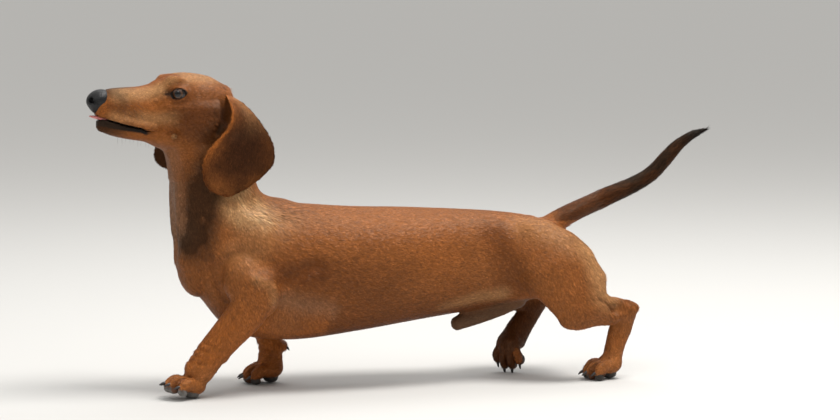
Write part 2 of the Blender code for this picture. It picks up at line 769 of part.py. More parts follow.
def build():
    for old in list(bpy.data.objects):
        bpy.data.objects.remove(old)
    scene = bpy.context.scene
    parts = bpy.data.collections.new(PARTS_NAME)
    cutters = bpy.data.collections.new("Cutters")
    scene.collection.children.link(parts)
    scene.collection.children.link(cutters)
    made = {}

    flesh = dog_flesh()
    body = thinned(mesh_object("body_skin", *skin_of(flesh, BODY_STEP, blur=1), cutters), BODY_TRIANGLES)
    skull = thinned(mesh_object("head_skin", *skin_of(flesh, HEAD_STEP, HEAD_BOX), cutters), HEAD_TRIANGLES)

    def node(name, source, keep, drop):
        thing = source.copy()
        thing.data = source.data.copy()
        thing.name = name
        parts.objects.link(thing)
        for block in keep:
            combined(thing, block.solid(cutters), "INTERSECT")
        for block in drop:
            combined(thing, block.solid(cutters, GAP), "DIFFERENCE")
        largest_piece(thing)
        made[name] = thing
        return thing

    node("head", skull, [HEAD_BLOCK], [])
    node("neck", body, [NECK_BLOCK], [HEAD_BLOCK])
    node("torso", body, [], [NECK_BLOCK, TAIL_BLOCK, *LEG_BLOCKS.values()])
    tail = mesh_object("tail_skin", *skin_of(flesh, HEAD_STEP, TAIL_BOX), cutters)
    node("tail", thinned(tail, TAIL_TRIANGLES), [TAIL_BLOCK], [])
    for name, block in LEG_BLOCKS.items():
        limb, side = name.rsplit("_", 1)
        lower = {"upper_arm": "forearm", "thigh": "hock"}[limb] + "_" + side
        paw = {"upper_arm": "forepaw", "thigh": "hindpaw"}[limb] + "_" + side
        node(name, body, [block], [LOWER_BLOCKS[lower]])
        node(lower, body, [LOWER_BLOCKS[lower], block], [PAW_BLOCKS[paw]])
        place = PAWS[paw].place.origin
        box = (place + (-48, -38, 0)) * (1, 1, 0) + (0, 0, -6), (place + (56, 38, 0)) * (1, 1, 0) + (0, 0, 62)
        skin = thinned(mesh_object(paw + "_skin", *skin_of(flesh, PAW_STEP, box), cutters), PAW_TRIANGLES)
        node(paw, skin, [PAW_BLOCKS[paw]], [])
        combined(made[paw], FLOOR_BLOCK.solid(cutters), "DIFFERENCE")
        largest_piece(made[paw])

    def seated(thing, *hosts):
        """Cuts the seat of a set-in piece out of the nodes around it."""
        seat = swollen(thing, GAP, cutters)
        for host in hosts:
            combined(made[host], seat, "DIFFERENCE")
            largest_piece(made[host])

    made["nose"] = thinned(mesh_object("nose", *skin_of(nose_flesh(), SMALL_STEP), parts), NOSE_TRIANGLES)
    seated(made["nose"], "head")
    made["tongue"] = thinned(mesh_object("tongue", *skin_of(tongue_flesh(), SMALL_STEP), parts), TONGUE_TRIANGLES)
    seated(made["tongue"], "head", "nose")
    for side, word in ((1, "left"), (-1, "right")):
        name = "eye_" + word
        eyeball = bmesh.new()
        bmesh.ops.create_uvsphere(eyeball, u_segments=16, v_segments=10, radius=EYE_RADIUS)
        points = [HEAD.to_dog(np.array(v.co) + mirrored(side, EYE)) for v in eyeball.verts]
        faces = [[v.index for v in f.verts] for f in eyeball.faces]
        eyeball.free()
        made[name] = mesh_object(name, points, faces, parts)
        seated(made[name], "head")
    for side, word in ((1, "left"), (-1, "right")):
        name = "ear_" + word
        rows = ear_rows(side)
        points = [HEAD.to_dog(p) for row in rows for p in row]
        n = EAR_COLUMNS
        faces = [
            (r * n + c, r * n + c + 1, (r + 1) * n + c + 1, (r + 1) * n + c)
            for r in range(len(rows) - 1)
            for c in range(n - 1)
        ]
        ear = mesh_object(name, points, faces, parts)
        thick = ear.modifiers.new("thickness", "SOLIDIFY")
        thick.thickness = EAR_THICKNESS * MM
        thick.offset = 0
        round_off = ear.modifiers.new("rounding", "SUBSURF")
        round_off.levels = round_off.render_levels = 1
        made[name] = bake(ear)
        seated(ear, "head", "neck")
    for name, paw in PAWS.items():
        size = CLAW_SIZES[name.split("_")[0]]
        for number, (reach, left) in enumerate(paw.toes, 1):
            root = (reach + 0.5, left * 1.08, 8.5)
            claw = mesh_object(f"{name}_claw_{number}", *skin_of(claw_flesh(paw.place, root, size), SMALL_STEP), parts)
            made[claw.name] = thinned(claw, CLAW_TRIANGLES)
            combined(claw, FLOOR_BLOCK.solid(cutters), "DIFFERENCE")
            largest_piece(claw)
            seated(claw, name)
    for side, host in ((1, "forearm_left"), (-1, "forearm_right")):
        dewclaw = skin_of(claw_flesh(DEWCLAWS[side], (3.5, 0, 0), DEWCLAW_SIZE), SMALL_STEP)
        claw = mesh_object(host + "_dewclaw", *dewclaw, parts)
        made[claw.name] = thinned(claw, CLAW_TRIANGLES)
        seated(claw, host)
    for name, thing in made.items():
        thing.data.shade_smooth()
        thing.data.set_sharp_from_angle(angle=SHARP_ANGLE)
        thing.data.materials.clear()
        thing.data.materials.append(material_for(name))
    cutters.hide_render = True
    for cutter in cutters.objects:
        cutter.hide_render = True
        cutter.display_type = "WIRE"


if __name__ == "__main__":
    build()
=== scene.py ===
"""A smooth-haired dachshund at life size in mid-stride, as a museum would show it.

One skin runs over the whole dog, a coat's depth inside the solids, with short fur over it as
joined meshes. The eyes, ears, nose, tongue and claws are pieces of their own. Sizes are in
millimetres, and a place is (forward, left, up) from the floor under the middle of the dog.
"""

import math

import bpy
import numpy as np
import openvdb
from mathutils import Matrix


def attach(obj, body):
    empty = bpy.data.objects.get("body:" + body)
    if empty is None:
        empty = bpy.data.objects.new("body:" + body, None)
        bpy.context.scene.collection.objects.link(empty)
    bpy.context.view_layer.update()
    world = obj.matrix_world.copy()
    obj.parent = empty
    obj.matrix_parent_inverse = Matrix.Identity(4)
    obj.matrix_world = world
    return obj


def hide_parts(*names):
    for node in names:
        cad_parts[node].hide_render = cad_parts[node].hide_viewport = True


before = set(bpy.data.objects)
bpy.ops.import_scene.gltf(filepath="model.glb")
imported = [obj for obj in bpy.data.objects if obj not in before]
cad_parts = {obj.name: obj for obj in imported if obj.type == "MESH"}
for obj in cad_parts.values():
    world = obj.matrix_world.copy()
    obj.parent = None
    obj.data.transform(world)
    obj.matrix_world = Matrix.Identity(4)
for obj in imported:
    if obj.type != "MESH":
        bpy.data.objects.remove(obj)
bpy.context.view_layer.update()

MM = 0.001
# Moves the dog ahead until the origin is midway between the tips of its nose and tail
MIDDLE = 12.54

# Driving dimensions of this dog
WITHERS = 214.0
BODY_LENGTH = 512.0
CHEST_WIDTH = 128.0
FOREPAW_WIDTH = 43.0
HINDPAW_WIDTH = 38.0
EYE_RADIUS = 9.2

# Distance given where no form is near, and how many steps make a coarse cell
FAR = 60.0
COARSE = 4


class Place:
    """A spot with its own forward, left and up. It turns its own points into the dog's."""

    def __init__(self, origin, yaw=0.0, pitch=0.0, roll=0.0, base=None):
        turn = (
            Matrix.Rotation(math.radians(yaw), 3, "Z")
            @ Matrix.Rotation(math.radians(-pitch), 3, "Y")
            @ Matrix.Rotation(math.radians(roll), 3, "X")
        )
        axes = np.array(turn)
        origin = np.array(origin, float)
        if base is not None:
            axes = base.axes @ axes
            origin = base.to_dog(origin)
        self.axes = axes
        self.origin = origin

    def to_dog(self, points):
        return np.asarray(points, float) @ self.axes.T + self.origin

    def to_own(self, points):
        return (points - self.origin) @ self.axes


DOG = Place((0, 0, 0))


def smooth_rows(rows, per_span=5):
    """Rows on a smooth curve through the given rows."""
    rows = np.array(rows, float)
    padded = np.vstack([2 * rows[0] - rows[1], rows, 2 * rows[-1] - rows[-2]])
    out = []
    for i in range(len(rows) - 1):
        a, b, c, d = padded[i : i + 4]
        for t in np.arange(per_span) / per_span:
            bend = (c - a) * t + (2 * a - 5 * b + 4 * c - d) * t**2 + (3 * b - a - 3 * c + d) * t**3
            out.append(b + 0.5 * bend)
    out.append(rows[-1])
    return np.array(out)


def unit(v):
    return v / np.maximum(np.linalg.norm(v, axis=-1, keepdims=True), 1e-9)


class Form:
    """A shape known by its distance, with the box it lies in."""

    def __init__(self, distance, low, high):
        self.distance = distance
        self.low = np.array(low, float)
        self.high = np.array(high, float)


def tube(stations, place=DOG, facing=(0, 0, 1), power=2.0, cap=None):
    """A tube through stations of (forward, left, up, half width, reach to the facing side, reach away)."""
    rows = smooth_rows(stations)
    centres = place.to_dog(rows[:, :3])
    radii = np.maximum(rows[:, 3:6], 0.3)
    tangents = unit(np.gradient(centres, axis=0))
    hint = np.array(facing, float) @ place.axes.T
    faces = unit(hint - (tangents @ hint)[:, None] * tangents)
    sides = np.cross(tangents, faces)
    reach = radii.max() if cap is None else max(radii.max(), cap)
    last = len(centres) - 2

    def distance(points):
        nearest = np.full(len(points), np.inf)
        offset = np.zeros((len(points), 3))
        at = np.zeros(len(points))
        for i in range(len(centres) - 1):
            span = centres[i + 1] - centres[i]
            t = np.clip((points - centres[i]) @ span / (span @ span), 0, 1)
            o = points - centres[i] - t[:, None] * span
            square = np.einsum("ij,ij->i", o, o)
            closer = square < nearest
            nearest[closer] = square[closer]
            offset[closer] = o[closer]
            at[closer] = i + t[closer]
        low = np.minimum(at.astype(int), last)
        share = (at - low)[:, None]

        def between(values):
            return values[low] * (1 - share) + values[low + 1] * share

        r = between(radii)
        across = np.einsum("ij,ij->i", offset, between(sides))
        up = np.einsum("ij,ij->i", offset, between(faces))
        along = np.einsum("ij,ij->i", offset, between(tangents))
        rise = np.where(up > 0, r[:, 1], r[:, 2])
        end = r.mean(axis=1) if cap is None else cap
        whole = np.abs(across / r[:, 0]) ** power + np.abs(up / rise) ** power + np.abs(along / end) ** power
        q = whole ** (1 / power)
        return np.where(q > 1e-3, np.sqrt(nearest) * (1 - 1 / np.maximum(q, 1e-3)), -r.min(axis=1))

    return Form(distance, centres.min(0) - reach, centres.max(0) + reach)


def ball(centre, radii, place=DOG, yaw=0.0, pitch=0.0, roll=0.0):
    """An ellipsoid with its radii along its own forward, left and up."""
    own = Place(centre, yaw, pitch, roll, base=place)
    radii = np.array(radii, float)

    def distance(points):
        p = own.to_own(points)
        k0 = np.linalg.norm(p / radii, axis=1)
        k1 = np.linalg.norm(p / radii**2, axis=1)
        return np.where(k1 > 1e-9, k0 * (k0 - 1) / np.maximum(k1, 1e-9), -radii.min())

    reach = radii.max()
    return Form(distance, own.origin - reach, own.origin + reach)


def blended(a, b, k):
    """The lesser of two distances, with a soft corner k wide."""
    if k <= 0:
        return np.minimum(a, b)
    h = np.clip(0.5 + 0.5 * (b - a) / k, 0, 1)
    return b * (1 - h) + a * h - k * h * (1 - h)


def away_from(points, line):
    """How far points are from a line of points."""
    nearest = np.full(len(points), np.inf)
    for a, b in zip(line[:-1], line[1:]):
        span = b - a
        t = np.clip((points - a) @ span / (span @ span), 0, 1)
        nearest = np.minimum(nearest, np.linalg.norm(points - a - t[:, None] * span, axis=1))
    return nearest


class Flesh:
    """Forms added, carved and grooved in turn, each with the width of its blend."""

    def __init__(self):
        self.steps = []

    def add(self, form, blend=8.0):
        self.steps.append((form, blend, "add"))

    def carve(self, form, blend=2.0):
        self.steps.append((form, blend, "carve"))

    def groove(self, form, depth):
        """Carves the form only as deep as asked under the surface made so far."""
        self.steps.append((form, depth, "groove"))

    def press(self, line, width, depth):
        """A soft hollow along a line near the surface, or a ridge where the depth is below nothing."""
        line = np.array(line, float)

        def share(points):
            return away_from(points, line) / width

        self.steps.append((Form(share, line.min(0) - 2 * width, line.max(0) + 2 * width), depth, "press"))

    def distance(self, points, margin=16.0):
        d = np.full(len(points), FAR)
        for form, blend, way in self.steps:
            room = blend + margin
            near = ((points > form.low - room) & (points < form.high + room)).all(axis=1)
            if not near.any():
                continue
            own = form.distance(points[near])
            if way == "add":
                d[near] = blended(d[near], own, blend)
            elif way == "carve":
                d[near] = -blended(-d[near], own, blend)
            elif way == "press":
                d[near] += blend * np.exp(-(own**2))
            else:
                d[near] = np.maximum(d[near], -np.maximum(own, -d[near] - blend))
        return d

    def bounds(self):
        added = [form for form, _, way in self.steps if way == "add"]
        return np.min([f.low for f in added], axis=0), np.max([f.high for f in added], axis=0)


def mirrored(side, row):
    """A row given for the left side, for the side asked for: 1 is left, -1 is right."""
    return (row[0], side * row[1], *row[2:])


# The torso as (share of the body's length back from the breast, top and bottom as shares
# of the withers' height, half width as a share of the chest's width)
BREAST = 248.0
TORSO_STATIONS = (
    (0.035, 0.790, 0.505, 0.24),
    (0.080, 0.915, 0.362, 0.35),
    (0.130, 0.980, 0.292, 0.42),
    (0.190, 1.000, 0.262, 0.47),
    (0.270, 0.985, 0.254, 0.49),
    (0.385, 0.963, 0.285, 0.49),
    (0.500, 0.952, 0.323, 0.46),
    (0.620, 0.935, 0.360, 0.39),
    (0.720, 0.915, 0.390, 0.345),
    (0.800, 0.880, 0.410, 0.33),
    (0.865, 0.800, 0.430, 0.31),
    (0.905, 0.690, 0.450, 0.25),
)
RIB_LINE = 0.55


def torso_forms(flesh):
    stations = []
    for share, top, bottom, width in TORSO_STATIONS:
        forward = BREAST - share * BODY_LENGTH
        low, high = bottom * WITHERS, top * WITHERS
        middle = low + RIB_LINE * (high - low)
        stations.append((forward, 0, middle, width * CHEST_WIDTH, high - middle, middle - low))
    flesh.add(tube(stations, power=2.15, cap=20), 6)
    # breastbone
    flesh.add(ball((233, 0, 137), (13, 16, 20), pitch=-20), 22)
    sheath = (
        (-74, 0, 65, 8, 10, 9),
        (-96, 0, 72, 9.5, 12, 10.5),
        (-124, 0, 80, 10, 10, 10),
        (-150, 0, 88, 10, 9, 8),
    )
    flesh.add(tube(sheath, cap=8), 7)
    # ridge of the withers
    flesh.add(ball((150, 0, 203), (24, 15, 12)), 18)


def shoulder_forms(flesh, side):
    # shoulder blade, upper arm and the muscle behind it
    flesh.add(ball(mirrored(side, (168, 40, 168)), (20, 17, 42), pitch=-28), 16)
    flesh.add(ball(mirrored(side, (184, 50, 130)), (29, 21, 31), pitch=-35), 8)
    flesh.add(ball(mirrored(side, (163, 52, 124)), (22, 19, 25), pitch=20), 8)


def hip_forms(flesh, side):
    flesh.add(ball(mirrored(side, (-180, 34, 134)), (46, 27, 43), pitch=24), 18)
    flesh.add(ball(mirrored(side, (-160, 26, 172)), (20, 13, 12), pitch=-14), 16)


NECK_STATIONS = (
    (196, 0, 168, 52, 51, 50),
    (205, 0, 202, 45, 50, 50),
    (212, 0, 240, 40, 49, 48),
    (215, 0, 270, 37, 48, 45),
    (212, 0, 298, 34, 38, 38),
)


def neck_forms(flesh):
    flesh.add(tube(NECK_STATIONS, facing=(1, 0, 0), power=2.1, cap=20), 20)
    # windpipe and the two long muscles beside it
    for side in (1, -1):
        row = (
            (244, 13, 150, 9, 9, 9),
            (246, 16, 195, 11, 11, 11),
            (244, 20, 240, 11, 11, 11),
            (232, 30, 272, 9, 9, 9),
        )
        flesh.add(tube([mirrored(side, r) for r in row], facing=(1, 0, 0), cap=9), 10)


HEAD = Place((200.7, 0, 305.3), yaw=6.0)
EYE = (57.0, 25.0, 31.8)
EYE_YAW = 58.0

# Skull with upper jaw, and the lower jaw, as (forward, top, bottom, half width)
UPPER_HEAD = (
    (-2, 41, -8, 27),
    (18, 51, -18, 35),
    (38, 55, -20, 37),
    (56, 54, -18, 33),
    (70, 48.5, -15, 27),
    (82, 43, -12, 23),
    (98, 40, -9, 20),
    (116, 39.4, -5, 17.5),
    (130, 38.4, -1, 15.5),
    (139, 36, 3, 12.5),
)
LOWER_JAW = (
    (30, -8, -30, 24),
    (60, -9, -27.5, 20),
    (84, -2, -23, 16.5),
    (106, 3, -19.5, 13.5),
    (124, 8, -15.5, 11),
    (137.5, 10, -10.5, 9),
)
# Line between the lips, from the corner of the mouth forward: (forward, up)
MOUTH = ((92, -9.5), (99, -6), (113, -3), (126, 1), (138, 5), (160, 9))
MOUTH_WIDTH = 0.55
CORNER_LENGTH = 12.0
MOUTH_DEPTH = 3.4


def head_stations(table):
    return [(f, 0, (top + low) / 2, width, (top - low) / 2, (top - low) / 2) for f, top, low, width in table]


def mouth_slit():
    """A thin level sheet that follows the line between the lips."""
    line = np.array(MOUTH)

    def distance(points):
        p = HEAD.to_own(points)
        level = np.interp(p[:, 0], line[:, 0], line[:, 1])
        opened = np.clip((p[:, 0] - line[0, 0]) / CORNER_LENGTH, -1, 1)
        return np.abs(p[:, 2] - level) - MOUTH_WIDTH * opened

    centre = HEAD.to_dog((126, 0, 0))
    return Form(distance, centre - 40, centre + 40)


def head_forms(flesh):
    flesh.add(tube(head_stations(UPPER_HEAD), HEAD, power=2.25, cap=8), 12)
    flesh.add(tube(head_stations(LOWER_JAW), HEAD, power=2.1, cap=8), 3)
    for side in (1, -1):
        # jaw muscle, cheek bone, brow and the lips' hanging edge
        flesh.add(ball(mirrored(side, (26, 24, -2)), (36, 16, 24), HEAD, pitch=12), 12)
        cheek = ((72, 21, 17, 4.5, 4.5, 4.5), (48, 31, 15, 5.5, 5.5, 5.5), (20, 35, 14, 5, 5, 5))
        flesh.add(tube([mirrored(side, r) for r in cheek], HEAD), 9)
        flesh.add(ball(mirrored(side, (60, 18, 43)), (12, 9, 8), HEAD, yaw=side * -20), 7)
        lip = (
            (84, 17, -5, 4.5, 5, 5),
            (104, 14.5, 0, 4.5, 5, 5),
            (124, 11.5, 5, 4.5, 5, 5),
            (138, 7, 10, 4.5, 5, 5),
        )
        flesh.add(tube([mirrored(side, r) for r in lip], HEAD), 4)
        # lids
        flesh.add(ball(mirrored(side, EYE), (11.2, 11.2, 10.6), HEAD), 4)
    # hollows of the ears
    for side in (1, -1):
        flesh.carve(ball(mirrored(side, (3, 38, 8)), (9, 8, 12), HEAD), 4)
    # throat
    flesh.add(tube(((70, 0, -18, 17, 9, 9), (50, 0, -28, 24, 14, 14), (20, 0, -44, 30, 22, 22)), HEAD), 16)
    flesh.groove(mouth_slit(), MOUTH_DEPTH)
    # opening between the lips where the tongue shows
    flesh.carve(ball((147, 0, 7), (11, 8, 3.2), HEAD, pitch=18), 1.5)
    for side in (1, -1):
        opening = Place(mirrored(side, EYE), yaw=side * EYE_YAW, base=HEAD)
        flesh.carve(ball((11, 0, 0.2), (7, 11.5, 6.2), opening, roll=side * -5), 1.2)


# Legs as tubes of (forward, left, up, half width, reach to the front, reach to the back)
FORELEGS = {
    1: (
        (172, 57, 128, 17, 26, 24),
        (184, 55, 98, 18, 24, 23),
        (207, 51, 70, 16.5, 21, 20),
        (226, 47, 49, 15, 18.5, 18.5),
        (239, 44, 33, 15.5, 15.5, 19.5),
    ),
    -1: (
        (168, -57, 130, 17, 26, 24),
        (156, -56, 98, 18, 22, 21),
        (143, -49, 68, 16, 17.5, 17),
        (137, -43, 44, 13.5, 14.5, 14.5),
        (137, -41, 26, 14, 14.5, 14.5),
    ),
}
THIGHS = {
    1: ((-185, 42, 130, 22, 42, 44), (-194, 50, 104, 20, 35, 50), (-204, 54, 84, 17, 26, 40)),
    -1: ((-168, -40, 132, 22, 42, 50), (-150, -45, 112, 20, 32, 40), (-138, -48, 98, 17, 22, 26)),
}
SHANKS = {
    1: (
        (-192, 54, 82, 15, 17, 20),
        (-222, 53, 79, 14, 18, 17),
        (-246, 51, 79, 12, 19, 16),
        (-262, 48, 79, 9, 15, 14),
    ),
    -1: ((-132, -48, 96, 15, 16, 18), (-160, -47, 87, 13, 15, 16), (-182, -45, 80, 11, 13, 14)),
}
HOCKS = {
    1: (
        (-268, 47, 81, 8, 11, 12),
        (-257, 46, 62, 9, 13, 17),
        (-251, 44, 40, 9.5, 11, 14),
        (-249, 42, 23, 11, 11, 12),
    ),
    -1: (
        (-188, -45, 80, 9, 12, 12),
        (-175, -43, 66, 9, 14, 15),
        (-159, -40, 50, 11, 13, 19),
        (-153, -38, 38, 13, 13, 18),
    ),
}


# Where each foreleg's dewclaw grows from, and which way it points
DEWCLAWS = {
    1: Place((223, 34, 35), yaw=168, pitch=-38),
    -1: Place((124, -36, 43), yaw=192, pitch=-20),
}


def leg_forms(flesh, side):
    forearm = FORELEGS[side]
    flesh.add(tube(forearm, facing=(1, 0, 0), cap=16), 6)
    elbow = forearm[1]
    flesh.add(ball((elbow[0] - 23, elbow[1], elbow[2] + 7), (10, 10, 13)), 7)
    flesh.add(ball(DEWCLAWS[side].origin, (6, 4.5, 5)), 4)
    wrist = forearm[3]
    flesh.add(ball((wrist[0] - 15, wrist[1], wrist[2] - 2), (6.5, 7, 7.5)), 4)
    flesh.add(tube(THIGHS[side], facing=(1, 0, 0), cap=24), 14)
    flesh.add(tube(SHANKS[side], facing=(0, 0, 1), cap=14), 8)
    hock = HOCKS[side]
    flesh.add(tube(hock, facing=(1, 0, 0), cap=10), 4)
    flesh.add(ball((hock[0][0] - 6, hock[0][1], hock[0][2] + 2), (7, 6.5, 6)), 5)
    # hollows between the tendon and the bone
    for inward in (-1, 1):
        flesh.carve(ball((hock[0][0] + 16, hock[0][1] + inward * 17, hock[0][2] + 3), (9, 7, 5), pitch=8), 6)


class Paw:
    """Where a paw stands, how wide it is and how far each of its four toes reaches."""

    def __init__(self, place, width, reach):
        self.place = place
        self.width = width
        self.toes = [(reach * share, across * width) for share, across in TOES]


# Each toe's reach as a share of the longest, and its place across as a share of the width
TOES = ((0.66, -0.345), (1.0, -0.122), (1.0, 0.122), (0.66, 0.345))
PAWS = {
    "forepaw_left": Paw(Place((255, 43, 2.5), yaw=16, pitch=18), FOREPAW_WIDTH, 22),
    "forepaw_right": Paw(Place((144, -40, 1.2), yaw=-6), FOREPAW_WIDTH, 22),
    "hindpaw_left": Paw(Place((-239, 42, 1.2), yaw=5), HINDPAW_WIDTH, 21),
    "hindpaw_right": Paw(Place((-157, -43, 25.4), yaw=46, pitch=-78), HINDPAW_WIDTH, 20),
}


def paw_forms(flesh, paw):
    half = paw.width / 2
    flesh.add(ball((-5, 0, 14.5), (16, half * 0.80, 11), paw.place), 7)
    for reach, left in paw.toes:
        toe = (
            (-6, left * 0.65, 15, half * 0.24, 6, 6),
            (reach * 0.40, left, 15.5, half * 0.27, 6.5, 8),
            (reach * 0.76, left * 1.05, 12, half * 0.28, 6.5, 9),
            (reach * 0.96, left * 1.08, 7.5, half * 0.25, 5, 5.5),
        )
        flesh.add(tube(toe, paw.place, cap=4), 1.4)
        flesh.add(ball((reach * 0.83, left * 1.06, 3.5), (6.4, half * 0.24, 4.6), paw.place), 1.2)
    flesh.add(ball((-7, 0, 4.6), (9, half * 0.52, 5.8), paw.place), 2.5)


def tail_forms(flesh):
    rows = (
        (-178, 0, 168, 17, 17, 17),
        (-207, 0, 187, 12.6, 12.8, 13.4),
        (-252, 0, 206.5, 10.8, 11, 12.4),
        (-290, 0, 221.5, 9.2, 9.4, 10.8),
        (-313, 0, 234.5, 8.7, 9.0, 10.2),
        (-332, 0, 253.5, 8.0, 8.2, 9.8),
        (-344, 0, 265.5, 6.8, 7.0, 8.6),
        (-360, 0, 276.5, 5.0, 5.2, 6.4),
        (-372, 0, 281.5, 3.4, 3.6, 4.2),
        (-380, 0, 283.5, 1.7, 1.7, 1.9),
    )
    flesh.add(tube(rows, cap=1.6), 6)


def dog_flesh():
    flesh = Flesh()
    torso_forms(flesh)
    neck_forms(flesh)
    for side in (1, -1):
        shoulder_forms(flesh, side)
        hip_forms(flesh, side)
        leg_forms(flesh, side)
    for paw in PAWS.values():
        paw_forms(flesh, paw)
    tail_forms(flesh)
    head_forms(flesh)
    return flesh


def nose_flesh():
    flesh = Flesh()
    flesh.add(ball((142, 0, 26), (14.2, 12.8, 10.8), HEAD, pitch=-20), 2)
    flesh.add(ball((140, 0, 17), (11, 7, 8), HEAD), 5)
    for side in (1, -1):
        flesh.carve(ball(mirrored(side, (152, 6.2, 25.5)), (5, 3.0, 3.2), HEAD, yaw=side * 25), 1.2)
        slit = ((152, 8, 24.5, 1.5, 1.5, 1.5), (146, 12, 21.5, 1.4, 1.4, 1.4), (139, 13.5, 20, 1.0, 1.0, 1.0))
        flesh.carve(tube([mirrored(side, r) for r in slit], HEAD), 0.8)
    # groove under the nostrils
    flesh.carve(tube(((156, 0, 22, 0.9, 1, 1), (151, 0, 11, 0.9, 1, 1)), HEAD), 0.8)
    return flesh


def tongue_flesh():
    flesh = Flesh()
    flesh.add(ball((141, 0, 5.4), (12.5, 7, 2.1), HEAD, pitch=12), 0)
    return flesh


def claw_flesh(place, root, size):
    """A claw that grows forward from its root and bends down to its tip."""
    forward, left, up = root
    rows = (
        (forward - 3, left, up, 2.3 * size, 2.6 * size, 2.4 * size),
        (forward + 4 * size, left, up - 0.6 * size, 1.9 * size, 2.1 * size, 1.9 * size),
        (forward + 9 * size, left, up - 3.6 * size, 0.8 * size, 0.8 * size, 0.8 * size),
    )
    flesh = Flesh()
    flesh.add(tube(rows, place, cap=0.8 * size), 0)
    return flesh


def sampled(flesh, low, high, step):
    """Distances on an even grid, worked out in full only in the coarse cells near the surface."""
    cells = np.ceil((high - low) / (step * COARSE)).astype(int)
    wide = step * COARSE

    def grid(start, counts, spacing):
        axes = [start[i] + spacing * np.arange(counts[i]) for i in range(3)]
        return np.stack(np.meshgrid(*axes, indexing="ij"), axis=-1)

    margin = 6 * step
    corners = grid(low, cells + 1, wide)
    rough = flesh.distance(corners.reshape(-1, 3), margin).reshape(cells + 1)
    close = np.abs(rough) < margin
    near = np.zeros(cells, bool)
    for i, j, k in np.ndindex(2, 2, 2):
        near |= close[i : i + cells[0], j : j + cells[1], k : k + cells[2]]
    fine = np.ones((COARSE,) * 3)
    values = np.kron(rough[:-1, :-1, :-1], fine)
    wanted = np.kron(near, fine) > 0
    where = np.argwhere(wanted)
    values[wanted] = flesh.distance(low + step * where, margin)
    return values


def surface_of(values, low, step):
    """Points and quads where a grid of distances passes through nothing."""
    grid = openvdb.FloatGrid(FAR)
    grid.copyFromArray(values.astype(np.float32))
    points, quads = grid.convertToQuads(0.0)
    return low + step * np.asarray(points, float), np.asarray(quads).astype(np.int64)


def skin_of(flesh, step):
    low, high = flesh.bounds()
    low, high = low - 3 * step, high + 3 * step
    return surface_of(sampled(flesh, low, high, step), low, step)


EAR_ROWS = (
    # front edge (forward, up), rear edge (forward, up), left at the front, left at the rear, bulge
    (4, 29, -7, 25, 26, 22, 0),
    (5, 24, -13, 21, 36, 30, 1),
    (4, 12, -22, 11, 43, 38, 4),
    (12, -5, -33, -3, 48, 43, 5),
    (28, -21, -42, -18, 51, 45, 6),
    (40, -36, -47, -33, 52, 45, 5),
    (43, -52, -45, -48, 52, 45, 4),
    (40, -65, -34, -60, 51, 44.5, 3),
    (31, -75.5, -21, -69.5, 50, 44, 2),
    (15, -81.5, -4, -78, 49, 44, 1),
)
EAR_COLUMNS = 5
EAR_ROOT = 25.0
FAR_EAR_SWING = 22.0
FAR_EAR_LIFT = 0.2
FAR_EAR_FLARE = 12.0
EAR_RIM = 0.8
CLAW_SIZE = 0.9
DEWCLAW_SIZE = 0.75


def ear_rows(side):
    """Rows of points over the middle of the ear's flap, from its root to its tip."""
    rows = []
    for front, front_up, rear, rear_up, front_left, rear_left, bulge in EAR_ROWS:
        row = []
        for s in np.linspace(0, 1, EAR_COLUMNS):
            forward = front + s * (rear - front)
            up = front_up + s * (rear_up - front_up)
            left = front_left + s * (rear_left - front_left) + bulge * 4 * s * (1 - s)
            curl = max(0.0, 1 - 4 * s) * min(bulge, 4)
            if side < 0 and up < EAR_ROOT:
                drop = (EAR_ROOT - up) / 100
                forward += FAR_EAR_SWING * drop
                left += FAR_EAR_FLARE * drop
                up += FAR_EAR_LIFT * (EAR_ROOT - up)
            row.append((forward, side * (left + EAR_RIM * curl), up))
        rows.append(row)
    return rows


# How far the skin lies under the tips of the coat
BODY_COAT = 1.5
FACE_COAT = 0.6

SKIN_STEP = 2.0
RNG = np.random.default_rng(11)
LATTICE = np.random.default_rng(5).random((32, 32, 32))


def noise(points, size):
    """Smooth random values from 0 to 1, with bumps of the given size in millimetres."""
    q = points / size
    base = np.floor(q).astype(int)
    t = q - base
    t = t * t * (3 - 2 * t)
    total = np.zeros(len(points))
    for corner in np.ndindex(2, 2, 2):
        weight = np.ones(len(points))
        for axis in range(3):
            weight *= t[:, axis] if corner[axis] else 1 - t[:, axis]
        i, j, k = ((base + corner) % 32).T
        total += weight * LATTICE[i, j, k]
    return total


def ramp(values, low, high):
    t = np.clip((values - low) / (high - low), 0, 1)
    return t * t * (3 - 2 * t)


def spot(points, centre, radii, edge=0.35):
    """One inside an ellipsoid and nothing outside, with a soft edge."""
    reach = np.linalg.norm((points - np.array(centre, float)) / np.array(radii, float), axis=1)
    return 1 - ramp(reach, 1 - edge, 1 + edge)


def stroke(points, line, width, edge=0.5):
    """One along a line of points and nothing away from it."""
    return 1 - ramp(away_from(points, np.array(line, float)), width * (1 - edge), width * (1 + edge))


def both_sides(points):
    """The points with their left made positive."""
    return points * (1, 0, 1) + np.abs(points) * (0, 1, 0)


# Edge of a lid: half its length, its height over and under the middle, how far it dips
# towards the nose, its distance from the eye's centre and the turn it spans to each side
LID_HALF = 8.4
LID_HIGH = 4.7
LID_LOW = -4.8
LID_DIP = 0.9
LID_RADIUS = 9.9
LID_SPAN = 66


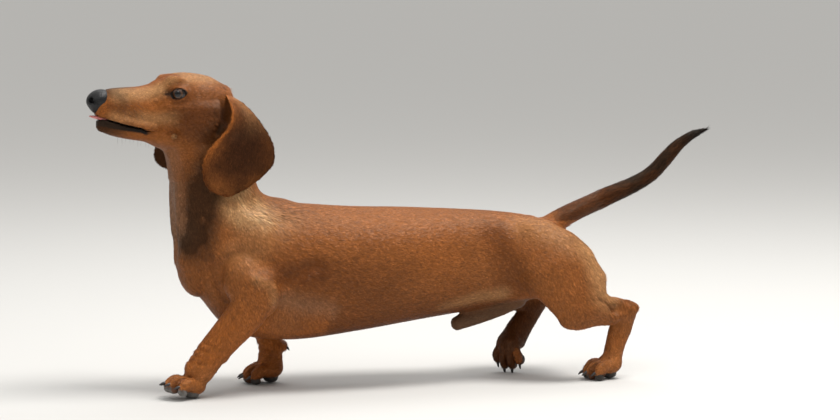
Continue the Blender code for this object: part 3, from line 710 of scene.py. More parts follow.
def lid_rim(side, upper):
    """Points along the edge of a lid, in the dog's own directions."""
    opening = Place(mirrored(side, EYE), yaw=side * EYE_YAW, base=HEAD)
    rows = []
    for angle in np.radians(np.linspace(-LID_SPAN, LID_SPAN, 9)):
        across = math.sin(angle) / math.sin(math.radians(LID_SPAN)) * LID_HALF
        high = (LID_HIGH if upper else LID_LOW) * math.cos(angle * 90 / LID_SPAN) ** 0.8
        up = high + 0.2 - LID_DIP * across / LID_HALF * side * -1
        deep = math.sqrt(LID_RADIUS**2 - across**2 - min(up**2, 40))
        rows.append(opening.to_dog((deep, across, up)))
    return rows


def as_rows(points, radius):
    return [(*p, radius, radius, radius) for p in points]


# Soft hollows and ridges of the head: points on the left half, width and depth
HEAD_PRESSES = (
    # edge of the whisker pad, hanging lip, hollow before the eye, jaw muscle's front
    (((114, 16, 28), (110, 18, 20), (113, 17, 9)), 3.5, 0.9),
    (((126, 14, 4), (110, 17.5, 0), (96, 20, -4)), 2.6, -0.8),
    (((88, 20, 24), (76, 25, 19)), 6.0, 1.1),
    (((62, 30, 12), (57, 33, -1), (59, 29, -14)), 5.0, 0.9),
    # creases under and over the lids, brow
    (((49, 35, 24), (59, 33.5, 19.5), (70, 28, 21)), 1.7, 0.55),
    (((48, 32, 42), (58, 29, 45), (69, 23, 41)), 1.8, 0.7),
    (((54, 27, 49), (66, 20, 49)), 4.0, -1.0),
    # inner corner, corner of the mouth, furrow of the forehead
    (((70, 25, 33), (77, 20.5, 30), (87, 17.5, 27)), 2.2, 0.8),
    (((93, 19, -9), (88, 21, -13), (82, 22, -18)), 2.0, 1.0),
    (((76, 0, 48), (50, 0, 56), (24, 0, 53)), 5.0, 1.2),
    # hollow ahead of the ear, and the fold that closes it in front
    (((9, 34, 25), (11, 38, 13), (11, 40, 2), (19, 38, -11)), 3.4, 3.4),
    (((17, 35, 22), (19, 38, 10), (20, 40, 0)), 3.0, -0.9),
    # first crease of the throat
    (((62, 14, -31), (48, 24, -36), (30, 32, -38)), 4.0, 1.2),
)
BODY_PRESSES = (
    # front cord of the neck, the long hollow behind it, and the blade's front edge
    (((263, 21, 272), (255, 27, 247), (252, 28, 214), (249, 26, 178)), 4.5, 3.0),
    (((268, 12, 266), (263, 16, 240), (260, 17, 210), (256, 17, 180)), 5.0, -1.2),
    (((240, 36, 246), (233, 38, 210), (236, 34, 174)), 9.0, 2.6),
    (((172, 36, 214), (192, 50, 190), (214, 47, 165)), 8.0, 1.7),
    # shoulder blade's spine and the dip behind the upper arm
    (((160, 44, 196), (176, 54, 170), (190, 58, 148)), 7.0, -1.1),
    (((110, 60, 146), (128, 63, 138), (144, 64, 130)), 9.0, 4.6),
    (((132, 60, 112), (146, 56, 96)), 9.0, 1.8),
    # hollow of the flank, its fold, and the haunch
    (((-106, 46, 170), (-114, 46, 140), (-124, 40, 110)), 13.0, 4.4),
    (((-104, 40, 104), (-122, 30, 88)), 5.0, -1.4),
    (((-146, 32, 182), (-158, 40, 168)), 9.0, -1.1),
    (((-206, 54, 152), (-222, 56, 116), (-226, 54, 94)), 6.0, 1.3),
    (((-254, 54, 74), (-252, 53, 58), (-250, 52, 40)), 3.0, 1.8),
    (((-222, 62, 96), (-236, 60, 90), (-242, 58, 80)), 3.2, 2.6),
)
NEAR_PRESSES = (
    # crease between the chest and the upper arm, elbow's edge, long muscle of the forearm
    (((224, 44, 158), (222, 39, 140), (217, 37, 121), (209, 36, 104)), 3.6, 3.8),
    (((180, 72, 134), (163, 69, 126), (158, 66, 110)), 4.5, -1.8),
    (((160, 68, 126), (178, 72, 112), (190, 70, 96)), 7.0, 0.9),
    (((178, 66, 152), (164, 68, 142), (154, 66, 134)), 11.0, 2.4),
    (((184, 66, 92), (206, 62, 68), (220, 58, 52)), 4.0, 0.9),
)
RIB_STARTS = (112, 94, 76, 58, 40, 22)


def detail_forms(flesh):
    """Folds, rims, hollows and creases that the solids leave out."""
    for side in (1, -1):
        for upper in (True, False):
            flesh.add(tube(as_rows(lid_rim(side, upper), 1.1), cap=1.0), 0.8)
        for line, width, depth in HEAD_PRESSES:
            flesh.press([HEAD.to_dog(mirrored(side, p)) for p in line], width, depth)
        for line, width, depth in BODY_PRESSES:
            flesh.press([mirrored(side, p) for p in line], width, depth)
        for forward in RIB_STARTS:
            flesh.press([mirrored(side, p) for p in ((forward, 60, 166), (forward - 14, 62, 104))], 5.0, 0.45)
        fore = FORELEGS[side]
        a, b = np.array(fore[3][:3], float), np.array(fore[4][:3], float)
        for share in (-0.75, -0.3, 0.1, 0.5):
            middle = a + share * (b - a)
            row = [
                middle + (fore[3][4] * math.cos(t), fore[3][3] * math.sin(t), 5 * math.cos(t) - 3)
                for t in np.linspace(-1.5, 1.5, 7)
            ]
            flesh.press(row, 1.5, 1.25)
    for line, width, depth in NEAR_PRESSES:
        flesh.press(line, width, depth)
    for paw in PAWS.values():
        for (_, a), (_, b) in zip(paw.toes[:-1], paw.toes[1:]):
            reach = paw.toes[1][0]
            cleft = ((-4, 24), (reach * 0.4, 22), (reach * 0.8, 14))
            line = [paw.place.to_dog((x, (a + b) / 2, z)) for x, z in cleft]
            flesh.press(line, 1.5, 1.2)
    # wart on the cheek and the knot at the withers
    flesh.add(ball((64, 24.5, -15), (3.2, 3.0, 3.0), HEAD), 1.0)
    flesh.add(ball((163, 0, 213), (5, 6, 4)), 4)


def coat_depth(points):
    """How far under the solids' surface the skin lies."""
    own = HEAD.to_own(points)
    face = ramp(own[:, 0], 20, 60) * (points[:, 2] > 240)
    feet = 1 - ramp(points[:, 2], 30, 60)
    tail = ramp(-points[:, 0], 225, 260) * (points[:, 2] > 150)
    thin = np.maximum(np.maximum(face, feet), 0.35 * tail)
    bald = spot(own, (147, 0, 7), (12, 9, 6)) * (points[:, 2] > 240)
    return (BODY_COAT + (FACE_COAT - BODY_COAT) * thin) * (1 - bald)


def face_normals(points, faces):
    if faces.shape[1] == 4:
        return np.cross(points[faces[:, 2]] - points[faces[:, 0]], points[faces[:, 3]] - points[faces[:, 1]])
    return np.cross(points[faces[:, 1]] - points[faces[:, 0]], points[faces[:, 2]] - points[faces[:, 0]])


def point_normals(points, *groups):
    total = np.zeros_like(points)
    for faces in groups:
        if not len(faces):
            continue
        n = face_normals(points, faces)
        for corner in range(faces.shape[1]):
            for axis in range(3):
                total[:, axis] += np.bincount(faces[:, corner], n[:, axis], len(points))
    return unit(total)


def refined(points, quads, triangles, marked):
    """Each marked quad cut in four, with its unmarked neighbours cut into triangles to match."""
    ends = np.stack([quads, np.roll(quads, -1, axis=1)], axis=-1)
    keys = np.sort(ends, axis=-1)
    codes = keys[..., 0] * np.int64(len(points)) + keys[..., 1]
    cut = np.unique(codes[marked])
    middle_of = np.searchsorted(cut, codes)
    middle_of = np.minimum(middle_of, len(cut) - 1)
    is_cut = cut[middle_of] == codes
    halves = 0.5 * (points[cut // len(points)] + points[cut % len(points)])
    first_half = len(points)
    first_centre = first_half + len(cut)
    touched = is_cut.any(axis=1)
    centre_of = np.cumsum(touched) - 1 + first_centre
    centres = points[quads[touched]].mean(axis=1)
    grown = np.vstack([points, halves, centres])
    m = first_half + middle_of[marked]
    q = quads[marked]
    c = centre_of[marked]
    new = [np.stack([q[:, i], m[:, i], c, m[:, i - 1]], axis=1) for i in range(4)]
    fans = []
    edge = touched & ~marked
    for i in range(4):
        a, b = quads[edge, i], quads[edge, (i + 1) % 4]
        h = first_half + middle_of[edge, i]
        s = is_cut[edge, i]
        centre = centre_of[edge]
        fans.append(np.stack([a, b, centre], axis=1)[~s])
        fans.append(np.stack([a, h, centre], axis=1)[s])
        fans.append(np.stack([h, b, centre], axis=1)[s])
    return grown, np.vstack([quads[~touched], *new]), np.vstack([triangles, *fans])


def settled(flesh, points, quads, triangles, step, times=2):
    """The points moved onto the skin's own surface."""
    for _ in range(times):
        normals = point_normals(points, quads, triangles)
        off = flesh.distance(points, margin=4) + coat_depth(points)
        points = points - normals * np.clip(off, -step, step)[:, None]
    return points


def fine_places(points):
    own = HEAD.to_own(points)
    head = (own[:, 0] > -14) & (points[:, 2] > 250)
    feet = points[:, 2] < 44
    return head | feet


def finest_places(points):
    own = HEAD.to_own(both_sides_of_head(points))
    eye = np.linalg.norm(own - EYE, axis=1) < 15
    mouth = (own[:, 0] > 88) & (own[:, 2] < 14) & (points[:, 2] > 260)
    return eye | mouth


def both_sides_of_head(points):
    """The points with the right half of the head turned over onto the left."""
    own = HEAD.to_own(points)
    return HEAD.to_dog(both_sides(own))


def whole_skin():
    flesh = dog_flesh()
    detail_forms(flesh)
    low, high = flesh.bounds()
    low, high = low - 3 * SKIN_STEP, high + 3 * SKIN_STEP
    values = sampled(flesh, low, high, SKIN_STEP)
    axes = [low[i] + SKIN_STEP * np.arange(values.shape[i]) for i in range(3)]
    where = np.stack(np.meshgrid(*axes, indexing="ij"), axis=-1)
    close = np.abs(values) < 4 * SKIN_STEP
    values[close] += coat_depth(where[close])
    points, quads = surface_of(values, low, SKIN_STEP)
    triangles = np.zeros((0, 3), np.int64)
    normals = point_normals(points, quads)
    probe = RNG.integers(0, len(points), 400)
    inward = flesh.distance(points[probe] + normals[probe]) < flesh.distance(points[probe] - normals[probe])
    if inward.mean() > 0.5:
        quads = quads[:, ::-1]
    for places in (fine_places, finest_places):
        marked = places(points[quads].mean(axis=1))
        points, quads, triangles = refined(points, quads, triangles, marked)
    points = settled(flesh, points, quads, triangles, SKIN_STEP / 2)
    points[:, 2] = np.maximum(points[:, 2], 0.3)
    return points, quads, triangles


# Which way the fur lies: a spot and its direction, each (forward, left, up), for the left side
HEAD_LIE = (
    ((140, 0, 40), (-1, 0, 0.05)), ((118, 12, 30), (-1, 0.2, -0.15)), ((95, 20, 20), (-1, 0.3, -0.3)),
    ((75, 10, 50), (-1, 0.3, 0.45)), ((50, 12, 56), (-1, 0.15, 0.2)), ((20, 12, 52), (-1, 0.1, -0.1)),
    ((70, 26, 20), (-1, 0.4, -0.3)), ((45, 35, 15), (-1, 0.1, -0.45)), ((62, 24, 44), (-0.7, 0.4, 0.5)),
    ((20, 35, 30), (-1, 0.2, -0.5)), ((30, 34, -8), (-0.8, 0, -0.8)), ((60, 22, -14), (-1, 0, -0.45)),
    ((100, 15, -8), (-1, 0.1, -0.35)), ((120, 10, -10), (-1, 0, -0.2)), ((80, 0, -26), (-1, 0.2, -0.2)),
    ((-5, 20, 35), (-0.6, 0.1, -0.8)),
)
BODY_LIE = (
    ((262, 0, 240), (-0.1, 0, -1)), ((255, 0, 190), (0.05, 0.1, -1)), ((240, 32, 220), (-0.25, 0.1, -1)),
    ((205, 44, 250), (-0.45, 0, -0.9)), ((172, 30, 240), (-0.6, 0, -0.8)),
    ((215, 45, 205), (-0.45, 0.1, -0.9)), ((165, 35, 210), (-0.8, 0.2, -0.6)),
    ((245, 0, 145), (-0.1, 0.2, -1)), ((232, 30, 140), (-0.2, 0.4, -0.9)),
    ((180, 60, 165), (-0.5, 0.1, -0.85)), ((190, 62, 125), (-0.4, 0, -0.9)),
    ((150, 62, 130), (-0.8, 0, -0.6)), ((180, 50, 80), (-0.1, 0, -1)), ((225, 45, 50), (0.2, 0, -1)),
    ((235, 30, 50), (0.1, 0, -1)), ((255, 43, 20), (0.9, 0.1, -0.4)), ((140, 45, 60), (0, 0, -1)),
    ((145, 42, 20), (0.9, 0, -0.4)), ((100, 62, 150), (-1, 0, -0.35)), ((100, 0, 214), (-1, 0, 0)),
    ((30, 60, 150), (-1, 0, -0.25)), ((0, 0, 205), (-1, 0, 0)), ((-60, 50, 140), (-1, 0, -0.15)),
    ((-100, 0, 200), (-1, 0, 0)), ((120, 0, 60), (-1, 0, 0.1)), ((0, 0, 72), (-1, 0, 0.1)),
    ((-90, 20, 80), (-1, 0, 0.2)), ((-120, 45, 120), (-0.9, 0, -0.5)),
    ((-170, 55, 150), (-0.75, 0, -0.65)), ((-190, 0, 190), (-1, 0, 0.1)),
    ((-195, 60, 110), (-0.5, 0, -0.85)), ((-235, 40, 120), (-0.35, 0, -0.95)),
    ((-215, 10, 150), (-0.5, 0, -0.85)), ((-220, 54, 85), (-0.8, 0, -0.55)), ((-258, 47, 70), (0, 0, -1)),
    ((-250, 43, 40), (0.05, 0, -1)), ((-235, 42, 12), (0.9, 0, -0.35)), ((-172, 43, 64), (0.2, 0, -1)),
    ((-156, 43, 20), (0.2, 0, -1)),
)
TAIL_LINE = (
    (-178, 0, 172), (-207, 0, 187), (-252, 0, 206.5), (-290, 0, 221.5), (-313, 0, 235),
    (-332, 0, 255), (-344, 0, 267), (-360, 0, 277.5), (-382, 0, 284),
)


def lie_of(points, normals):
    """The direction that the fur lies in, along the skin."""
    spots = [(HEAD.to_dog(p), np.array(d, float) @ HEAD.axes.T) for p, d in HEAD_LIE]
    spots += [(np.array(p, float), np.array(d, float)) for p, d in BODY_LIE]
    side = np.where(points[:, 1] < 0, -1.0, 1.0)
    folded = both_sides(points)
    total = np.zeros_like(points)
    for place, direction in spots:
        apart = folded - place
        gap = np.einsum("ij,ij->i", apart, apart) + 60
        total += unit(direction) / gap[:, None] ** 2
    total[:, 1] *= side
    line = np.array(TAIL_LINE, float)
    on_tail = ramp(-points[:, 0], 212, 232) * (points[:, 2] > 160)
    along = np.zeros_like(points)
    along[:, 0] = -1
    for a, b in zip(line[:-1], line[1:]):
        here = (points[:, 0] <= a[0]) & (points[:, 0] > b[0])
        along[here] = unit(b - a)
    total = unit(total) * (1 - on_tail[:, None]) + along * on_tail[:, None]
    total -= normals * np.einsum("ij,ij->i", total, normals)[:, None]
    return unit(total)


def mixed(colours, colour, share):
    return colours + (np.array(colour, float) - colours) * np.clip(share, 0, 1)[:, None]


# The deep, gold and sooty colours are the coat's own, and also serve for painted shade and painted sheen
MAHOGANY = (0.275, 0.090, 0.022)
DEEP_AND_SHADE = (0.120, 0.032, 0.006)
GOLD_AND_SHEEN = (0.500, 0.265, 0.110)
STRAW = (0.560, 0.330, 0.150)
ORANGE = (0.360, 0.108, 0.020)
SOOTY_AND_SHADE = (0.026, 0.013, 0.007)
BLACK = (0.008, 0.007, 0.007)
EAR_BROWN = (0.085, 0.028, 0.008)
EAR_DARK = (0.030, 0.010, 0.004)
BARE = (0.125, 0.070, 0.040)
PAD = (0.045, 0.042, 0.040)
WORN_PAD = (0.170, 0.160, 0.152)
LIP = (0.010, 0.009, 0.009)
THROAT = (0.260, 0.145, 0.085)


# Marks, painted shade and painted sheen on the left half, in the order they are laid on: colour, share, then
# a line with its width or a centre with its radii, and the softness of the edge
BODY_MARKS_SHADE_AND_SHEEN = (
    # painted shade in the hollow of the flank, its golden edge, painted sheen on the rump and the shoulder
    # blade
    (DEEP_AND_SHADE, 0.55, ((-108, 40, 172), (-120, 44, 140), (-132, 38, 110)), 17, 0.8),
    (GOLD_AND_SHEEN, 0.50, ((-50, 40, 84), (-88, 37, 96), (-118, 32, 100)), 10, 0.8),
    (GOLD_AND_SHEEN, 0.38, ((-150, 34, 186), (-176, 42, 174), (-200, 46, 160)), 20, 0.8),
    (GOLD_AND_SHEEN, 0.22, ((146, 48, 196), (172, 56, 178), (190, 58, 160)), 20, 0.8),
    # painted shade in the hollow behind the upper arm, painted highlight on the fold of the elbow, thin grey
    # fur below it
    (DEEP_AND_SHADE, 0.70, ((146, 60, 134), (128, 60, 136), (108, 60, 138)), 13, 0.9),
    (GOLD_AND_SHEEN, 0.32, ((180, 72, 134), (163, 70, 126), (158, 68, 108)), 5.5, 0.8),
    (THROAT, 0.55, ((142, 62, 104), (120, 60, 98), (96, 58, 92)), 13, 0.9),
    # painted shade in the crease ahead of the upper arm and along the ribs
    (DEEP_AND_SHADE, 0.70, ((224, 44, 158), (222, 39, 140), (217, 37, 121), (209, 36, 104)), 3.5, 0.8),
    (DEEP_AND_SHADE, 0.45, ((140, 62, 140), (90, 62, 128), (30, 62, 120)), 22, 0.9),
)
LEG_MARKS_AND_SHADE = (
    # back of the thigh, painted shade in the crease over the knee
    (GOLD_AND_SHEEN, 0.65, ((-224, 50, 152), (-230, 54, 126), (-232, 54, 102)), 19, 0.7),
    (DEEP_AND_SHADE, 0.65, ((-220, 62, 97), (-234, 60, 91), (-243, 56, 82)), 4, 0.9),
)
FACE_MARKS_AND_SHADE = (
    # cheek, bridge of the nose, muzzle, pale stripe beside the bridge, dark smudge under it
    (GOLD_AND_SHEEN, 0.55, ((128, 13, 8), (104, 17, 6), (84, 21, 4), (64, 27, 6)), 7, 0.8),
    (SOOTY_AND_SHADE, 0.80, ((134, 0, 40), (118, 0, 41)), 11, 0.8),
    (DEEP_AND_SHADE, 0.50, ((131, 12, 20), (120, 15, 13), (108, 17, 11)), 6, 0.8),
    (STRAW, 0.55, ((124, 12, 32), (100, 15, 34), (80, 18, 38)), 9, 0.8),
    (SOOTY_AND_SHADE, 0.50, ((132, 10, 34), (122, 13, 29), (118, 14, 22)), 6, 0.9),
    # wart, painted shade on the jaw muscle and under the ear, brow
    (GOLD_AND_SHEEN, 0.7, (64, 27, -15), (4, 6, 4), 0.4),
    (DEEP_AND_SHADE, 0.85, (34, 36, 4), (36, 22, 26), 0.6),
    (SOOTY_AND_SHADE, 0.40, ((20, 38, -14), (30, 40, -30), (14, 36, 10)), 12, 0.8),
    (GOLD_AND_SHEEN, 0.6, (66, 22, 46), (9, 8, 6), 0.6),
)
GOLD_BAND = ((200, 40, 258), (194, 44, 236), (187, 49, 214), (172, 42, 208))
THROAT_LINE = ((268, 8, 268), (262, 12, 220), (256, 12, 180))
NECK_SOOT = ((230, 37, 244), (231, 37, 222), (235, 37, 200), (242, 32, 174))
EAR_OPENING = ((9, 33, 25), (11, 37, 13), (10, 39, 2), (17, 38, -11))


def marked(colours, points, marks, where=1.0):
    """The colours with marks laid on in turn, each along a line or in an ellipsoid."""
    for colour, share, place, size, edge in marks:
        shape = spot if isinstance(size, tuple) else stroke
        colours = mixed(colours, colour, share * where * shape(points, place, size, edge))
    return colours


def on_the_head(points, own):
    return (own[:, 0] > -10) & (points[:, 2] > 240)


def body_marked(colours, points, folded):
    # painted sheen paler along the back, painted shade darker towards the belly
    barrel = (points[:, 0] < 170) * (points[:, 0] > -230)
    colours = mixed(colours, GOLD_AND_SHEEN, 0.10 * ramp(points[:, 2], 176, 205) * barrel)
    low = (1 - ramp(points[:, 2], 72, 132)) * (np.abs(points[:, 0]) < 130)
    colours = mixed(colours, DEEP_AND_SHADE, 0.60 * low)
    return marked(colours, folded, BODY_MARKS_SHADE_AND_SHEEN)


def neck_marked(colours, points, folded):
    # band of gold under the ear to the withers, grey throat, soot on the throat's side
    fleck = noise(points, 7)
    band = stroke(folded, GOLD_BAND, 21, 0.8)
    colours = mixed(colours, STRAW, np.clip(0.9 * band * (0.50 + 0.8 * fleck), 0, 1))
    colours = mixed(colours, THROAT, 0.8 * stroke(folded, THROAT_LINE, 18, 0.9))
    rough = 0.5 + noise(points, 11)
    soot = stroke(folded, NECK_SOOT, 18, 1.0)
    colours = mixed(colours, SOOTY_AND_SHADE, 0.86 * np.clip(1.3 * soot * rough, 0, 1))
    # painted shade on the chest beside the breastbone
    return mixed(colours, DEEP_AND_SHADE, 0.12 * spot(folded, (236, 30, 140), (20, 22, 34), 0.6))


def legs_marked(colours, points, folded):
    up = points[:, 2]
    fore = (1 - ramp(up, 70, 110)) * (points[:, 0] > 90)
    colours = mixed(colours, ORANGE, 0.75 * fore)
    # painted highlight: the lower legs made paler on the left side only
    colours = mixed(colours, GOLD_AND_SHEEN, 0.28 * (1 - ramp(up, 24, 46)) * (points[:, 1] > 0))
    colours = marked(colours, folded, LEG_MARKS_AND_SHADE)
    colours = mixed(colours, ORANGE, 0.5 * (1 - ramp(up, 30, 70)))
    # painted shade on the inner sides of the legs, between them
    inner = (np.abs(points[:, 1]) < 30) * (up < 95)
    colours = mixed(colours, DEEP_AND_SHADE, 0.35 * inner)
    # painted shade over the far hind leg
    far_hind_shade = (points[:, 1] < -20) * (points[:, 0] < -110) * (1 - ramp(up, 70, 100))
    colours = mixed(colours, DEEP_AND_SHADE, 0.85 * far_hind_shade)
    return mixed(colours, SOOTY_AND_SHADE, 0.45 * far_hind_shade)


def paws_marked(colours, points, normals):
    # soles, and painted shade in the clefts between the toes
    for paw in PAWS.values():
        p = paw.place.to_own(points)
        pad = WORN_PAD if paw is PAWS["forepaw_left"] else PAD
        grain = (0.6 + 0.8 * noise(points, 2.5))[:, None]
        colours = mixed(colours, np.array(pad) * grain, pad_share(points, normals, paw))
        for (_, a), (_, b) in zip(paw.toes[:-1], paw.toes[1:]):
            # painted shade in the cleft between two toes
            cleft_shade = np.abs(p[:, 1] - (a + b) / 2) < 1.5
            colours = mixed(colours, DEEP_AND_SHADE, 0.7 * on_paw(p) * cleft_shade * (p[:, 0] > 2))
    return colours


def tail_marked(colours, points, normals):
    # sable from a dark root towards a black tip
    back = -points[:, 0]
    base = ramp(back, 182, 200) * (points[:, 2] > 182) * (np.abs(points[:, 1]) < 18)
    colours = mixed(colours, DEEP_AND_SHADE, 0.95 * base)
    colours = mixed(colours, SOOTY_AND_SHADE, 0.25 * base)
    tail = ramp(back, 225, 275) * (points[:, 2] > 170)
    sable = ramp(noise(points, np.array((16, 4, 16))) + 0.25 * normals[:, 2], 0.35, 0.75)
    colours = mixed(colours, SOOTY_AND_SHADE, tail * (0.68 + 0.31 * sable))
    return mixed(colours, BLACK, 0.92 * ramp(back, 338, 366) * (points[:, 2] > 200))


def face_marked(colours, own, on_head):
    colours = mixed(colours, ORANGE, 0.55 * on_head * ramp(own[:, 0], 30, 90))
    colours = marked(colours, own, FACE_MARKS_AND_SHADE, on_head)
    # painted sheen on the crown
    crown_sheen = ramp(own[:, 2], 38, 50) * (own[:, 0] < 56)
    colours = mixed(colours, GOLD_AND_SHEEN, 0.66 * on_head * crown_sheen)
    # dark round the eye, black rims and inner corner
    eye = np.linalg.norm(own - EYE, axis=1)
    rim = np.maximum(*lid_strokes(own, 2.0, 0.4))
    corner = stroke(own, ((66, 28, 32), (73, 22, 31)), 2.0, 0.9)
    colours = mixed(colours, DEEP_AND_SHADE, 0.45 * on_head * (1 - ramp(eye, 12, 18)))
    colours = mixed(colours, SOOTY_AND_SHADE, 0.60 * on_head * spot(own, (71, 24, 33), (5, 6, 4), 0.8))
    colours = mixed(colours, BLACK, on_head * np.maximum(rim, 0.8 * corner))
    # painted shade in the hollow ahead of the ear
    colours = mixed(colours, SOOTY_AND_SHADE, 0.85 * on_head * stroke(own, EAR_OPENING, 3.2, 0.6))
    # lips and chin
    colours = mixed(colours, LIP, lip_band(own) * on_head)
    under = own[:, 2] < np.interp(own[:, 0], (110, 138), (-3, 5))
    chin = spot(own, (132, 0, -3), (24, 16, 12), 0.7) * under
    return mixed(colours, SOOTY_AND_SHADE, 0.95 * on_head * chin)


def markings(points, normals):
    """The colour of the coat at places on the skin."""
    own = HEAD.to_own(both_sides_of_head(points))
    folded = both_sides(points)
    colours = np.tile(np.array(MAHOGANY), (len(points), 1))
    colours = mixed(colours, DEEP_AND_SHADE, 0.20 * ramp(noise(points, 34), 0.4, 0.9))
    colours = mixed(colours, ORANGE, 0.35 * ramp(noise(points + 400, 60), 0.4, 0.9))
    colours = body_marked(colours, points, folded)
    colours = neck_marked(colours, points, folded)
    colours = legs_marked(colours, points, folded)
    colours = paws_marked(colours, points, normals)
    # belly, sheath and armpits are nearly bare
    colours = mixed(colours, BARE, bare_places(points))
    colours = tail_marked(colours, points, normals)
    colours = face_marked(colours, own, on_the_head(points, own))
    return colours * (0.90 + 0.22 * noise(points, 3.2))[:, None]


def lid_strokes(own, width, edge):
    """One along the rim of the upper lid, and one along the lower."""
    rims = [[HEAD.to_own(p) for p in lid_rim(1, upper)] for upper in (True, False)]
    return [stroke(own, rim, width, edge) for rim in rims]


def on_paw(p):
    """Whether places in a paw's own directions are on that paw."""
    return (np.abs(p[:, 0] - 4) < 34) & (np.abs(p[:, 1]) < 30) & (p[:, 2] < 24)


def pad_share(points, normals, paw):
    """One on the bare pads of a paw."""
    p = paw.place.to_own(points)
    down = -normals @ paw.place.axes[:, 2]
    half = paw.width / 2
    share = (1 - ramp(p[:, 2], 3.5, 6.5)) * ramp(down, -0.3, 0.2)
    for reach, left in paw.toes:
        off = (p - (reach * 0.83 + 1.5, left * 1.06, 3.5)) / (6.6, half * 0.27, 5.0)
        share = np.maximum(share, 1 - ramp(np.linalg.norm(off, axis=1), 0.95, 1.2))
    heel = (p - (-7, 0, 4)) / (10, half * 0.60, 6.0)
    share = np.maximum(share, 1 - ramp(np.linalg.norm(heel, axis=1), 0.95, 1.15))
    return on_paw(p) * share


def lip_band(own):
    """One on the bare black edge of the lower lip and the corner of the mouth."""
    line = np.array(MOUTH)
    level = np.interp(own[:, 0], line[:, 0], line[:, 1])
    below = level - own[:, 2]
    wide = np.interp(own[:, 0], (84, 92, 100, 112, 124, 138), (1.5, 4.2, 5.4, 6.0, 7.5, 9.0))
    band = ramp(below, -1.6, -0.6) * (1 - ramp(below, wide - 0.7, wide + 0.7))
    return band * ramp(own[:, 0], 87, 93)


def bare_places(points):
    """One where the skin shows through: armpits, belly and sheath."""
    folded = both_sides(points)
    sheath = stroke(points, ((-74, 0, 62), (-100, 0, 68), (-145, 0, 80)), 15, 0.35)
    groin = spot(points, (-140, 0, 84), (40, 24, 14), 0.4)
    armpit = spot(folded, (138, 40, 78), (20, 16, 18), 0.5)
    belly = stroke(points, ((100, 0, 56), (0, 0, 64), (-70, 0, 72)), 18, 0.5) * 0.55
    return np.clip(np.maximum.reduce([0.80 * sheath, 0.7 * groin, 0.22 * armpit, 0.6 * belly]), 0, 0.9)


def bald_places(points, normals):
    """One where no fur grows: lips, rims of the eyes, nose and pads."""
    own = HEAD.to_own(both_sides_of_head(points))
    eye = 1 - ramp(np.linalg.norm(own - EYE, axis=1), 10.4, 11.2)
    nose = spot(own, (146, 0, 24), (15, 14, 13), 0.1)
    face = [lip_band(own), *lid_strokes(own, 2.2, 0.3), nose, eye]
    bald = np.maximum.reduce(face) * on_the_head(points, own)
    for paw in PAWS.values():
        bald = np.maximum(bald, pad_share(points, normals, paw))
    return bald


# Fur as (length, width of a blade, tufts on a square millimetre)
BODY_FUR = (4.4, 0.355, 0.235)
LEG_FUR = (4.0, 0.33, 0.29)
FOOT_FUR = (3.0, 0.31, 0.50)
TAIL_FUR = (7.0, 0.39, 0.35)
HEAD_FUR = (3.2, 0.28, 0.47)
MUZZLE_FUR = (2.2, 0.23, 0.68)
EAR_FUR = (3.6, 0.30, 0.5)
EAR_INNER_TUFTS = 0.20
EAR_CLUMP = 0.15
# How steeply the fur of the body and of the ears stands
BODY_LIFT = 0.045
EAR_LIFT = 0.04
RUFF_LINE = ((196, 44, 262), (184, 46, 232), (166, 42, 210), (140, 30, 206))


def fur_of(points):
    """Length, width, tufts per square millimetre and clumping of the fur at places on the skin."""
    own = HEAD.to_own(points)
    high = points[:, 2] > 240
    head = ramp(own[:, 0], -5, 35) * high
    muzzle = ramp(own[:, 0], 60, 95) * high
    legs = (1 - ramp(points[:, 2], 62, 92)) * (np.abs(points[:, 1]) > 18)
    feet = 1 - ramp(points[:, 2], 26, 46)
    tail = ramp(-points[:, 0], 215, 250) * (points[:, 2] > 165)
    folded = both_sides(points)
    ruff = stroke(folded, RUFF_LINE, 22, 0.6)
    breech = spot(folded, (-226, 36, 120), (20, 40, 50), 0.5)
    length = BODY_FUR[0] + 3.2 * ruff + 1.2 * breech
    width = BODY_FUR[1] + 0.06 * ruff
    dense = np.full(len(points), BODY_FUR[2])
    changes = ((legs, LEG_FUR), (feet, FOOT_FUR), (tail, TAIL_FUR), (head, HEAD_FUR), (muzzle, MUZZLE_FUR))
    for share, (long, wide, many) in changes:
        length += (long - length) * share
        width += (wide - width) * share
        dense += (many - dense) * share
    bare = bare_places(points)
    clump = 0.12 + 0.35 * ruff + 0.2 * tail
    return length * (1 - 0.3 * bare), width * (1 - 0.3 * bare), dense * (1 - 0.6 * bare), clump


BLADES = 5


class Coat:
    """Tufts gathered from each surface, made into joined meshes at the end."""

    def __init__(self):
        self.rows = []

    def grow(self, points, normals, lie, length, width, clump, colours, spots, lift):
        """One tuft at each point: blades that start apart and draw together at their tips."""
        n = len(points)
        across = np.cross(normals, lie)
        lie = unit(lie + across * RNG.normal(0, 0.13, n)[:, None])
        across = np.cross(normals, lie)
        length = length * RNG.uniform(0.75, 1.25, n)
        rise = (lift + 0.10 * clump) * RNG.uniform(0.5, 1.5, n)
        shade = 1 + (0.16 + 0.30 * clump) * RNG.normal(0, 1, n)
        colours = colours * np.clip(shade, 0.4, 1.6)[:, None]
        self.rows.append((points, normals, lie, across, length, width, rise, clump, colours, spots))

    def meshes(self, most):
        columns = [np.concatenate(column) for column in zip(*self.rows)]
        order = np.argsort(-columns[0][:, 0], kind="stable")
        for start in range(0, len(order), most):
            pick = order[start : start + most]
            yield blades(*(column[pick] for column in columns))


